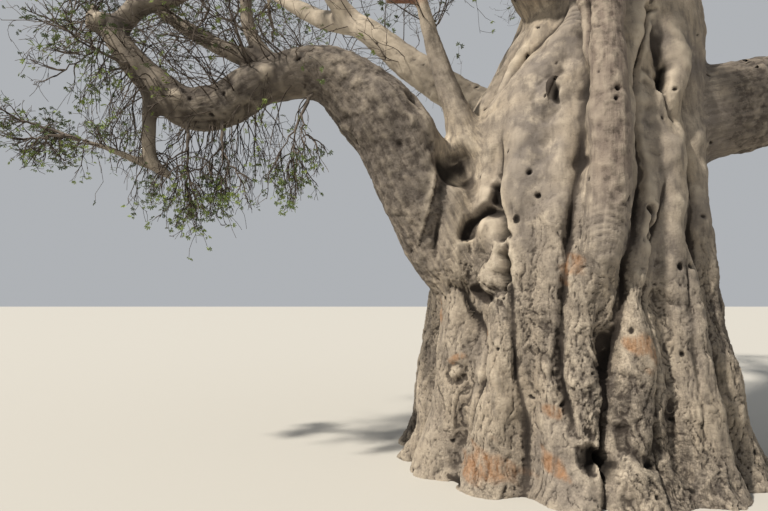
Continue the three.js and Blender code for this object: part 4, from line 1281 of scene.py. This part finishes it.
def cutFlat(points, corners, sizes, values):
    # The same faces cut off at the ground, with their values
    mesh = meshFrom("cutting", points, corners, sizes)
    for name, value in values.items():
        store(mesh, name, value)
    work = bmesh.new()
    work.from_mesh(mesh)
    bmesh.ops.bisect_plane(work, geom=list(work.verts) + list(work.edges) + list(work.faces), dist=1e-5,
                           plane_co=(0, 0, 0), plane_no=(0, 0, 1), clear_inner=True)
    work.to_mesh(mesh)
    work.free()
    mesh.update()
    points = pointsOf(mesh)
    points[:, 2] = np.maximum(points[:, 2], 0)
    values = {name: stored(mesh, name) for name in values}
    corners, sizes = cornersOf(mesh)
    bpy.data.meshes.remove(mesh)
    return points, corners, sizes, values


masks = ["rough", "onLimb", "darkBough", "column", "hollow", "worn", "redWood", "relief", "pit", "cavity",
         "groove"]


def cutSkin(mesh, owner):
    points = pointsOf(mesh)
    values = {name: stored(mesh, name) for name in masks + ["straight"]}
    values["skinNormal"] = normalsOf(mesh)
    corners, sizes = cornersOf(mesh)
    starts = np.cumsum(sizes) - sizes
    names = list(woodPieces)
    pieceOf = np.zeros(len(nodeNames), int)
    for i, members in enumerate(woodPieces.values()):
        for member in members:
            pieceOf[nodeNames.index(member)] = i
    faceOwner = np.minimum.reduceat(owner[corners], starts)
    faceHeight = np.add.reduceat(points[corners, 2], starts) / sizes
    level = np.searchsorted(trunkCuts, faceHeight)
    faceOf = np.where(faceOwner == 0, level, pieceOf[faceOwner])
    for i, name in enumerate(names):
        mine = faceOf == i
        cornerRows = np.repeat(mine, sizes)
        used, pieceCorners = np.unique(corners[cornerRows], return_inverse=True)
        pieceSizes = sizes[mine]
        piecePoints = points[used]
        pieceValues = {key: value[used] for key, value in values.items()}
        if i == 0:
            piecePoints, pieceCorners, pieceSizes, pieceValues = cutFlat(
                piecePoints, pieceCorners, pieceSizes, pieceValues)
        count = len(piecePoints)
        piecePoints, pieceCorners, pieceSizes = closed(piecePoints, pieceCorners, pieceSizes)
        pieceMesh = meshFrom(name, piecePoints, pieceCorners, pieceSizes)
        ownNormals = normalsOf(pieceMesh)
        ownNormals[:count] = unit(pieceValues.pop("skinNormal"))
        for key, value in pieceValues.items():
            extra = np.zeros((len(piecePoints) - count,) + value.shape[1:])
            store(pieceMesh, key, np.concatenate([value, extra]))
        pieceMesh.normals_split_custom_set_from_vertices(ownNormals.tolist())
        pieceMesh.materials.append(bark)
        piece = addObject(name, pieceMesh)
        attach(piece, body)
        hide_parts(*woodPieces[name])
        print(name, int((pieceSizes - 2).sum()), "triangles")


# Bark of an old baobab: thin, smooth and grey-brown with a dull sheen high up, and below wrinkled, dented and
# dusty. Fresh breaks and worn patches show orange-brown wood.
barkLook = {
    "pale": "#aea08c",
    "grey": "#7b736c",
    "dust": "#c4b7a4",
    "low": "#aa9d8b",
    # rain streaks and dark patches of bark, and on the boughs painted dappled shade
    "stainAndDappledShade": "#5d5650",
    # dark bark for cracks and flecks, and painted shade in grooves and cavities and dappled on the boughs
    "deep": "#38312c",
    # painted shade, near black, in pits, hollows, creases and ring folds
    "holeShade": "#15110e",
    "column": "#73665d",
    # the boughs' grey-brown, partly their own colour and partly painted shade of the crown over them
    "bough": "#756c63",
    # painted shade of the twigs over the left bough's outer part
    "arm": "#463f39",
    "worn": "#98683c",
    "redWood": "#7a3f27",
    "roughness": 0.86,
    "specular": 0.25,
    "ior": 1.45,
    "upright": (1, 1, 0.2),  # how far patterns are drawn out up the trunk, along the boughs and level
    "along": (1, 1, 0.12),
    "squat": (1, 1, 1.6),
    "fibre": (0.28, 0.58),  # what part of a worn patch shows
    "bump": 0.018,
    "bumpStrength": 0.8,
    "smoothCrust": 0.45,  # the fine crust on smooth bark against that on rough
    "limbLines": 0.7,
    "cracks": -0.35,
}
# What is mixed over what, in turn: the share's source, where it starts and ends, how much, and the colour
barkLayers = [
    ("broad", 0.40, 0.62, 1.0, "pale"),
    ("blotch", 0.50, 0.72, 0.7, "dust"),
    ("rough", 0.0, 1.0, 0.75, "low"),
    ("stripe", 0.48, 0.66, 0.6, "stainAndDappledShade"),
    ("blotch", 0.62, 0.80, 0.5, "dust"),
    # the boughs' own colour, darkened as painted shade of the crown
    ("onLimb", 0.0, 1.0, 0.8, "bough"),
    # painted shade of the twigs, darker along the left bough's outer part
    ("darkBough", 0.0, 1.0, 0.85, "arm"),
    # on the boughs: dark blotches of bark and painted dappled shade of the leaves
    ("limbBlotchAndDappledShade", 0.46, 0.60, 0.8, "stainAndDappledShade"),
    ("lengthwise", 0.42, 0.60, 0.6, "stainAndDappledShade"),
    ("column", 0.0, 1.0, 0.75, "column"),
    # on the boughs: fine dark spots of bark and painted dappled shade of the leaves
    ("mottleAndDappledShade", 0.48, 0.58, 0.6, "deep"),
    ("lowBlotch", 0.42, 0.50, 0.7, "stainAndDappledShade"),
    ("lowMottle", 0.44, 0.54, 0.6, "deep"),
    ("fleck", 0.56, 0.76, 0.4, "deep"),
    # paler where the bark stands above its surroundings
    ("cavity", -0.003, -0.025, 0.6, "dust"),
    ("crackle", 0.2, 1.0, 0.5, "deep"),
    ("rift", 0.2, 1.0, 0.5, "deep"),
    # painted shade: darker where the bark lies below its surroundings, in narrow grooves and broad cavities
    ("groove", 0.0008, 0.006, 0.75, "deep"),
    ("cavity", 0.006, 0.040, 0.85, "deep"),
    ("torn", 0.0, 1.0, 0.55, "worn"),
    ("redWood", 0.0, 1.0, 0.9, "redWood"),
    # painted shade: near black in pits, and in hollows, creases and ring folds
    ("pit", 0.2, 1.0, 0.8, "holeShade"),
    ("hollow", 0.25, 0.95, 0.95, "holeShade"),
]


def barkNodes(material):
    # Old baobab bark: matt and dusty, pale grey-brown, with painted shade in its folds, pits and hollows and
    # on the boughs, streaked down its length by rain
    material.use_nodes = True
    tree = material.node_tree
    shader = tree.nodes["Principled BSDF"]
    shader.inputs["Roughness"].default_value = barkLook["roughness"]
    shader.inputs["IOR"].default_value = barkLook["ior"]
    shader.inputs["Specular IOR Level"].default_value = barkLook["specular"]
    place = addNode(tree, "TexCoord").outputs["Object"]
    source = {name: addNode(tree, "Attribute", attribute_name=name).outputs["Fac"] for name in masks}
    straight = addNode(tree, "Attribute", attribute_name="straight").outputs["Vector"]
    upright, along, squat = [
        addNode(tree, "VectorMath", {0: vector, 1: barkLook[name]}, operation="MULTIPLY")
        for name, vector in (("upright", place), ("along", straight), ("squat", place))]
    # Each pattern's size is in millimetres
    for name, vector, size, detail, roughness in (
            ("broad", place, 900, 3.0, 0.55), ("blotch", place, 180, 4.0, 0.6),
            ("fleck", place, 24, 3.0, 0.65), ("mottleAndDappledShade", place, 75, 4.0, 0.65),
            ("lowBlotch", upright, 260, 5.0, 0.7), ("lowMottle", squat, 90, 4.0, 0.65),
            ("stripe", upright, 70, 4.0, 0.6),
            ("lengthwise", along, 45, 3.0, 0.6), ("fibre", upright, 60, 3.0, 0.6),
            ("fine", squat, 26, 5.0, 0.65), ("lines", along, 25, 3.0, 0.6)):
        source[name] = addNode(tree, "TexNoise", {
            "Vector": vector, "Scale": 1000 / size, "Detail": detail, "Roughness": roughness})
    low, high = barkLook["fibre"]
    fibre = addNode(tree, "MapRange", {0: source["fibre"], 1: low, 2: high})
    source["torn"] = addNode(tree, "Math", {0: source["worn"], 1: fibre}, operation="MULTIPLY")
    for name, pattern, where in (("limbBlotchAndDappledShade", "blotch", "onLimb"), ("mottleAndDappledShade", "mottleAndDappledShade", "onLimb"),
                                 ("lowBlotch", "lowBlotch", "rough"), ("lowMottle", "lowMottle", "rough")):
        source[name] = addNode(tree, "Math", {0: source[pattern], 1: source[where]}, operation="MULTIPLY")
    for name, vector, size, width in (("crackle", squat, 55, 0.035), ("rift", upright, 45, 0.03)):
        noise = addNode(tree, "TexNoise", {
            "Vector": vector, "Scale": 1000 / size, "Detail": 4.0, "Distortion": 1.4})
        middle = addNode(tree, "Math", {0: noise, 1: 0.5}, operation="SUBTRACT")
        off = addNode(tree, "Math", {0: middle}, operation="ABSOLUTE")
        line = addNode(tree, "MapRange", {0: off, 1: 0.0, 2: width, 3: 1.0, 4: 0.0})
        source[name] = addNode(tree, "Math", {0: line, 1: source["rough"]}, operation="MULTIPLY")
    colour = addNode(tree, "Mix", {0: 0.0, 6: linear(barkLook["grey"])}, data_type="RGBA")
    for name, low, high, most, over in barkLayers:
        share = addNode(tree, "MapRange", {0: source[name], 1: low, 2: high, 3: 0.0, 4: most})
        colour = addNode(tree, "Mix", {0: share, 6: colour, 7: linear(barkLook[over])}, data_type="RGBA")
    tree.links.new(colour.outputs[2], shader.inputs["Base Color"])
    smooth = barkLook["smoothCrust"]
    roughShare = addNode(tree, "MapRange", {0: source["rough"], 1: 0.0, 2: 1.0, 3: smooth, 4: 1.0})
    crust = addNode(tree, "Math", {0: source["fine"], 1: roughShare}, operation="MULTIPLY")
    ribbed = addNode(tree, "Math", {0: source["lines"], 1: source["onLimb"]}, operation="MULTIPLY")
    for pattern, deep in ((ribbed, barkLook["limbLines"]), (source["crackle"], barkLook["cracks"]),
                          (source["rift"], barkLook["cracks"])):
        crust = addNode(tree, "Math", {0: pattern, 1: deep, 2: crust}, operation="MULTIPLY_ADD")
    bump = addNode(tree, "Bump", {
        "Height": crust, "Strength": barkLook["bumpStrength"], "Distance": barkLook["bump"]})
    tree.links.new(bump.outputs[0], shader.inputs["Normal"])


barkNodes(bark)
cutSkin(woodMesh, owner)
bpy.data.meshes.remove(woodMesh)
print("bark cut into", len(woodPieces), "pieces")


# Twigs: each mass's shoots are carried on to finer twigs within its own ball, and the limbs get some sprays

twigs = {
    "seed": 7,
    # Branchlets on a mass's shoots, twigs on branchlets, shoots on twigs. A branchlet's length is in shares
    # of its mass's reach, and the others' in shares of what bears them.
    "branchlets": {"perShoot": 5, "length": (0.20, 0.36), "steps": 8, "bend": 0.17, "fork": (25, 60),
                   "thick": 0.009},
    "twigs": {"perShoot": 4, "length": (0.35, 0.62), "steps": 5, "bend": 0.18, "fork": (25, 60),
              "thick": 0.6},
    "shoots": {"perShoot": 2, "length": (0.35, 0.65), "steps": 3, "bend": 0.2, "fork": (22, 50),
               "thick": 0.62},
    "tip": 0.45,  # a twig's thickness at its end against its start
    "thinnest": 0.0025,
    "lift": 0.04,  # how much a twig turns up at each step
    "hang": 0.42,  # how much it turns down instead where its mass droops
    "spurThin": 0.55,  # the shoots on the short spurs under the left bough are thinner than on its solid
    "perSpurShoot": 2,
    "wobble": 0.012,  # how far a mass's own shoots stray, in shares of its reach
    "firstPlace": 0.3,  # share of a shoot below which it bears nothing
    "outwards": 0.25,  # how much branchlets turn away from their mass's middle
    "offLimb": (45, 80),  # degrees between a limb and its own sprays
    "rootDepth": 0.6,  # where those start, in shares of the limb's radius
    "sides": (3, 5),  # of a thin twig, and of one thicker than the next radius
    "rounder": 0.011,
}
# Sprays straight off the limbs, by family: limb, from which share of it, how many, how long in metres, how
# far they droop, and how far they rise at their start
limbSprays = {
    "left_arm": [
        ("left_return", 0.05, 36, (0.35, 0.9), 0.1, 0.35), ("left_drop_side", 0.2, 16, (0.2, 0.5), 0.3, 0.35),
        ("left_arm", 0.05, 34, (0.3, 0.9), 0.2, 0.4), ("left_drop", 0.3, 10, (0.2, 0.5), 0.5, 0.0)],
    "left_upper": [
        ("left_slant", 0.05, 50, (0.4, 1.1), 0.1, 0.35), ("left_upright", 0.05, 40, (0.4, 1.1), 0.0, 0.35),
        ("crotch_stem", 0.35, 30, (0.4, 1.1), 0.1, 0.35), ("left_bough", 0.35, 44, (0.4, 1.2), 0.1, 0.45)],
    "hanging": [
        ("left_bough", 0.42, 22, (0.5, 1.1), 0.9, -0.6), ("left_arm", 0.05, 26, (0.4, 1.0), 0.9, -0.6)],
    "crown_left": [
        ("rear_left_bough", 0.12, 46, (0.6, 1.5), 0.1, 0.1), ("rear_left_fork", 0.3, 14, (0.5, 1.2), 0, 0.35),
        ("crown_left_bough", 0.25, 40, (0.6, 1.5), 0.1, 0.1),
        ("crown_left_fork", 0.3, 14, (0.5, 1.2), 0, 0.35)],
}
# The same for every bough of the other families
crownSprays = (0.45, 12, (0.5, 1.2), 0.0, 0.35)
twigFamilies = {
    "left_arm": ["left_return", "left_drop_side"],
    "left_upper": ["left_slant", "left_upright", "crotch_stem"],
    "hanging": ["arm_hanging", "bend_hanging", "shoulder_hanging", "arm_front", "shoulder_top"],
    "front": ["front_bough", "front_left_bough", "front_left_fork"],
    "right": ["right_bough", "right_bough_front", "right_bough_rear"],
    "crown_left": ["crown_left_bough", "crown_left_fork", "rear_left_bough", "rear_left_fork"],
    "crown_top": ["crown_top_bough", "crown_top_fork", "crown_right_bough", "crown_right_fork"],
    "rear": ["rear_bough", "rear_bough_fork", "rear_right_bough", "rear_right_fork"],
}
reachLow, reachHigh = np.array(cadBox[0]), np.array(cadBox[1])  # no twig grows out of this box
reachLow[2] = space["aboveGround"]


def anyDirection(rng, along, fork):
    # Directions turned away from others by a random angle, at a random place round them
    reference = np.where(np.abs(along[:, 2:3]) < 0.9, [[0.0, 0.0, 1.0]], [[1.0, 0.0, 0.0]])
    across = unit(np.cross(along, reference))
    side = np.cross(along, across)
    angle = np.radians(rng.uniform(*fork, len(along)))[:, None]
    turn = rng.uniform(0, 2 * math.pi, len(along))[:, None]
    return along * np.cos(angle) + (across * np.cos(turn) + side * np.sin(turn)) * np.sin(angle)


def growTwigs(rng, mass, start, along, length, radius, rule, droop):
    # Crooked paths from their starts, kept inside the mass's ball (if they have one) and above the ground
    points = [start]
    lift = twigs["lift"] - twigs["hang"] * max(droop, 0)
    for _ in range(rule["steps"]):
        along = along + rng.normal(0, rule["bend"], along.shape)
        along[:, 2] += lift
        along = unit(along)
        onward = points[-1] + along * (length / rule["steps"])[:, None]
        if mass:
            ball = mass["reach"] * space["radius"]
            off = onward - mass["centre"]
            far = np.linalg.norm(off, axis=1, keepdims=True)
            onward = np.where(far > ball, mass["centre"] + off * ball / far, onward)
        onward = np.clip(onward, reachLow, reachHigh)
        points.append(onward)
    share = np.linspace(1, twigs["tip"], rule["steps"] + 1)
    return np.stack(points, 1), np.maximum(radius[:, None] * share, twigs["thinnest"])


def sidePlaces(rng, paths, radii, count, low=0.25):
    # Random places along paths: point, direction and radius there
    many, steps = paths.shape[0] * count, paths.shape[1] - 1
    path = np.repeat(np.arange(paths.shape[0]), count)
    share = rng.uniform(low, 1, many) * steps
    at = np.minimum(share.astype(int), steps - 1)
    t = (share - at)[:, None]
    a, b = paths[path, at], paths[path, at + 1]
    return a + (b - a) * t, unit(b - a), radii[path, at], path


def finerTwigs(rng, mass, paths, radii, length, droop):
    # Twigs and shoots on branchlets; returns all of them, the last ones, and the branchlet that bears each
    groups, spray = [(paths, radii)], np.arange(len(paths))
    for level in ("twigs", "shoots"):
        rule = twigs[level]
        at, along, radius, path = sidePlaces(rng, paths, radii, rule["perShoot"])
        length = length[path] * rng.uniform(*rule["length"], len(at))
        radius = np.maximum(radius * rule["thick"], twigs["thinnest"] * 1.2)
        along = anyDirection(rng, along, rule["fork"])
        paths, radii = growTwigs(rng, mass, at, along, length, radius, rule, droop)
        groups.append((paths, radii))
        spray = spray[path]
    return groups, paths, spray


def crownOf(mass, rng):
    # The finer twigs of one mass, as groups of equal paths
    rule, groups = twigs["branchlets"], []
    starts, alongs, bearers = [], [], []
    loose = "spur" in mass
    for limb, cut in mass["tubes"]:
        run = sampled(limb, cut, 1, 9)
        wobble = rng.normal(0, twigs["wobble"] * mass["reach"], (9, 3))
        bearers.append(run["points"] + wobble * np.sin(np.linspace(0, math.pi, 9))[:, None])
        groups.append((bearers[-1][None], run["radii"][None] * (twigs["spurThin"] if loose else 1)))
    bearers += [run["points"] for run in runs if run.get("stem") == mass["name"]]
    for root, out, _ in mass["sprays"]:
        starts += [root] if loose else [root, root]
        alongs += [out] if loose else [out, out]
    perShoot = twigs["perSpurShoot"] if loose else rule["perShoot"]
    for points in bearers:
        at, along, _, _ = sidePlaces(
            rng, points[None], np.ones((1, len(points))), perShoot, twigs["firstPlace"])
        starts += list(at)
        alongs += list(anyDirection(rng, along, rule["fork"]))
    start, along = np.array(starts), unit(np.array(alongs))
    along = unit(along + twigs["outwards"] * unit(start - mass["centre"]))
    length = mass["reach"] * rng.uniform(*rule["length"], len(start))
    thick = np.full(len(start), rule["thick"])
    paths, radii = growTwigs(rng, mass, start, along, length, thick, rule, mass["droop"])
    finer, ends, spray = finerTwigs(rng, mass, paths, radii, length, mass["droop"])
    return groups + finer, ends, spray


def spraysOff(limb, rng, first, count, lengths, droop, rise):
    # Sprays that leave a limb at random places round it
    stretch = stretches[limb]
    shares = rng.uniform(first, 1, count)
    along = np.array([stretch.along(s) for s in shares])
    out = unit(anyDirection(rng, along, twigs["offLimb"]) + [0, 0, rise])
    start = np.array([stretch.at(s) for s in shares])
    start = start + out * np.array([[twigs["rootDepth"] * stretch.radius(s)] for s in shares])
    length = rng.uniform(*lengths, count)
    rule = twigs["branchlets"]
    paths, radii = growTwigs(rng, None, start, out, length, np.full(count, rule["thick"]), rule, droop)
    return finerTwigs(rng, None, paths, radii, length, droop)


def tubes(paths, radii, sides):
    many, steps = radii.shape
    along = unit(np.gradient(paths, axis=1))
    reference = np.where(np.abs(along[:, :1, 2:3]) < 0.9, [[[0.0, 0.0, 1.0]]], [[[1.0, 0.0, 0.0]]])
    across = unit(np.cross(along, np.broadcast_to(reference, along.shape)))
    side = np.cross(along, across)
    angle = np.arange(sides) * 2 * math.pi / sides
    ring = (paths[:, :, None] + radii[:, :, None, None] * (
        across[:, :, None] * np.cos(angle)[:, None] + side[:, :, None] * np.sin(angle)[:, None]))
    corners, sizes = ringFaces(steps, sides)
    shift = np.arange(many)[:, None] * steps * sides
    return ring.reshape(-1, 3), (corners[None] + shift).reshape(-1), np.tile(sizes, many)


twigLook = {
    "dark": "#352d27",
    "light": "#665c53",
    "barkFrom": (0.010, 0.035),  # radii between which a twig's colour turns to the boughs'
    "roughness": 0.8,
    "specular": 0.25,
}


def twigMaterial():
    # Bark of young baobab shoots: thin and matt, a dark grey-brown that pales to old bark on thicker twigs
    material, tree, shader = startMaterial("youngShootBark", twigLook["roughness"], twigLook["specular"])
    place = addNode(tree, "TexCoord").outputs["Object"]
    shade = addNode(tree, "TexNoise", {"Vector": place, "Scale": 1000 / 140, "Detail": 3.0})
    share = addNode(tree, "MapRange", {0: shade, 1: 0.35, 2: 0.65})
    colour = addNode(tree, "Mix", {
        0: share, 6: linear(twigLook["dark"]), 7: linear(twigLook["light"])}, data_type="RGBA")
    thick = addNode(tree, "Attribute", attribute_name="thick").outputs["Fac"]
    thin, old = twigLook["barkFrom"]
    older = addNode(tree, "MapRange", {0: thick, 1: thin, 2: old})
    colour = addNode(tree, "Mix", {0: older, 6: colour, 7: linear(barkLook["bough"])}, data_type="RGBA")
    tree.links.new(colour.outputs[2], shader.inputs["Base Color"])
    grain = addNode(tree, "TexNoise", {"Vector": place, "Scale": 1000 / 6, "Detail": 2.0})
    bump = addNode(tree, "Bump", {"Height": grain, "Strength": 0.4, "Distance": 0.003})
    tree.links.new(bump.outputs[0], shader.inputs["Normal"])
    return material


twigBark = twigMaterial()
leafPlaces = {}
for family, members in twigFamilies.items():
    parts, counts, leafPlaces[family] = [], [], []
    sprayRows = limbSprays.get(family, [(name, *crownSprays) for name in members])
    for number, row in enumerate(members + sprayRows):
        rng = np.random.default_rng([twigs["seed"], len(parts), number])
        if number < len(members):
            groups, ends, spray = crownOf(next(m for m in masses if m["name"] == row + "_twigs"), rng)
        else:
            groups, ends, spray = spraysOff(row[0], rng, *row[1:])
        leafPlaces[family].append((ends, spray))
        for paths, radii in groups:
            sides = twigs["sides"][int(radii.max() > twigs["rounder"])]
            parts.append(tubes(paths, radii, sides))
            counts.append(np.repeat(radii.ravel(), sides))
    mesh = meshFrom(family + "_twigs_wood", *joined(parts))
    store(mesh, "thick", np.concatenate(counts))
    mesh.materials.append(twigBark)
    piece = addObject(mesh.name, mesh)
    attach(piece, body)
    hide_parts(*[member + "_twigs" for member in members])
    print(piece.name, sum(len(p.vertices) - 2 for p in mesh.polygons), "triangles")


# Leaves: small hands of five leaflets, on some sprays only

leaves = {
    "seed": 21,
    "leafySprays": {"left_arm": 0.48, "left_upper": 0.36, "hanging": 0.6},
    "otherSprays": 0.35,
    "leafyShoots": {"left_arm": 0.85, "left_upper": 0.8, "hanging": 0.85},
    "otherShoots": 0.6,
    "perShoot": 2,
    "across": {"left_arm": 0.07, "left_upper": 0.075, "hanging": 0.07, "front": 0.085},
    "otherAcross": 0.12,
    "tints": {"youngLeaf": "#7f8f47", "greyGreenLeaf": "#5f6f3c", "dullLeaf": "#4a5632"},
    "fan": (-82, -42, 0, 42, 82),  # the leaflets' places round the stalk's end, degrees
    "lengths": (0.40, 0.50, 0.55, 0.50, 0.40),
    "stalk": 0.34,
    "stalkHalf": 0.012,
    "breadth": 0.17,
    "fold": 0.05,
    "sag": 0.12,
    "sizes": (0.7, 1.15),
    "backFromEnd": 0.3,  # how far back along its shoot a second leaf can stand
    "astray": 0.7,  # how far leaves turn off their shoots' line
    "flatter": 0.6,  # what is left of their slope, and how much they hang
    "hang": 0.1,
    "tilt": 0.45,
    "roughness": 0.55,
    "specular": 0.35,
}


def leafShape():
    # One leaf 1 long: a stalk and five folded leaflets that sag at their tips
    stalk, half = leaves["stalk"], leaves["stalkHalf"]
    breadth, fold, sag = leaves["breadth"], leaves["fold"], leaves["sag"]
    points = [(0, -half, 0), (0, half, 0), (stalk, half, 0), (stalk, -half, 0)]
    faces = [(0, 1, 2, 3)]
    for angle, length in zip(leaves["fan"], leaves["lengths"]):
        a = math.radians(angle)
        first = len(points)
        outline = [(0, 0, 0), (0.55, breadth / 2, fold), (0.86, breadth / 3, fold / 2), (1, 0, 0),
                   (0.86, -breadth / 3, fold / 2), (0.55, -breadth / 2, fold)]
        for along, across, height in outline:
            x, y = along * length, across
            points.append((stalk + x * math.cos(a) - y * math.sin(a), x * math.sin(a) + y * math.cos(a),
                           height - sag * (along * length) ** 2))
        faces += [(first, first + 1, first + 2, first + 3), (first, first + 3, first + 4, first + 5)]
    return meshFrom("oneLeaf", points, [c for face in faces for c in face], [4] * len(faces), False)


def leafTree():
    # Stands a leaf on each point, turned and sized by the points' own values
    tree, start, end, identifiers = newTree("leafSprays", {"Leaf": "Object", "Tint": "Material"})
    leaf = addNode(tree, "GeometryNodeObjectInfo", {"Object": start.outputs["Leaf"]})
    size = addNode(tree, "GeometryNodeInputNamedAttribute", {"Name": "leafSize"}, data_type="FLOAT")
    turn = addNode(tree, "GeometryNodeInputNamedAttribute", {"Name": "turn"}, data_type="FLOAT_VECTOR")
    rotation = addNode(tree, "FunctionNodeEulerToRotation", {"Euler": turn})
    stood = addNode(tree, "GeometryNodeInstanceOnPoints", {
        "Points": start.outputs["Geometry"], "Instance": leaf.outputs["Geometry"], "Rotation": rotation,
        "Scale": size})
    endTree(tree, end, stood, start.outputs["Tint"])
    return tree, identifiers


def leafMaterial(name, colour):
    # Thin baobab leaf: one soft green for each spray, slightly glossy, with a fine grain
    material, tree, shader = startMaterial(name, leaves["roughness"], leaves["specular"])
    shader.inputs["Base Color"].default_value = linear(colour)
    place = addNode(tree, "TexCoord").outputs["Object"]
    grain = addNode(tree, "TexNoise", {"Vector": place, "Scale": 1000 / 8, "Detail": 1.0})
    bump = addNode(tree, "Bump", {"Height": grain, "Strength": 0.3, "Distance": 0.002})
    tree.links.new(bump.outputs[0], shader.inputs["Normal"])
    return material


def eulerOf(ahead, above):
    # The XYZ turn that lays a leaf's length along ahead with its upper face towards above
    side = unit(np.cross(above, ahead))
    up = np.cross(ahead, side)
    return np.stack([np.arctan2(side[:, 2], up[:, 2]), -np.arcsin(np.clip(ahead[:, 2], -1, 1)),
                     np.arctan2(ahead[:, 1], ahead[:, 0])], 1)


leaf = addObject("oneLeaf", leafShape())
sprayTree, sprayInputs = leafTree()
tints = {name: leafMaterial(name, colour) for name, colour in leaves["tints"].items()}
for family, members in twigFamilies.items():
    rng = np.random.default_rng([leaves["seed"], len(family), len(members)])
    at, ahead, tint = [], [], []
    shootShare = leaves["leafyShoots"].get(family, leaves["otherShoots"])
    for ends, spray in leafPlaces[family]:
        leafy = rng.random(spray.max() + 1) < leaves["leafySprays"].get(family, leaves["otherSprays"])
        tintOf = rng.integers(0, len(tints), spray.max() + 1)
        chosen = np.nonzero(leafy[spray] & (rng.random(len(spray)) < shootShare))[0]
        for count in range(leaves["perShoot"]):
            share = 1 - leaves["backFromEnd"] * count * rng.random(len(chosen))[:, None]
            a, b = ends[chosen, -2], ends[chosen, -1]
            at.append(a + (b - a) * share)
            ahead.append(unit(unit(b - a) + rng.normal(0, leaves["astray"], a.shape)))
            tint.append(tintOf[spray[chosen]])
    at, ahead, tint = np.concatenate(at), np.concatenate(ahead), np.concatenate(tint)
    ahead[:, 2] = ahead[:, 2] * leaves["flatter"] - leaves["hang"]
    ahead = unit(ahead)
    above = unit(rng.normal(0, leaves["tilt"], ahead.shape) + [0, 0, 1])
    turn = eulerOf(ahead, above)
    across = leaves["across"].get(family, leaves["otherAcross"])
    size = across * rng.uniform(*leaves["sizes"], len(at))
    for index, (name, material) in enumerate(tints.items()):
        chosen = tint == index
        points = meshFrom("leafPoints", at[chosen], [], [])
        store(points, "turn", turn[chosen])
        store(points, "leafSize", size[chosen])
        mesh = throughTree(addObject("leafPoints", points), sprayTree, sprayInputs, {
            "Leaf": leaf, "Tint": material})
        mesh.name = f"{family}_{name}_leaves"
        piece = addObject(mesh.name, mesh)
        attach(piece, body)
        print(piece.name, chosen.sum(), "leaves")
bpy.data.objects.remove(leaf)
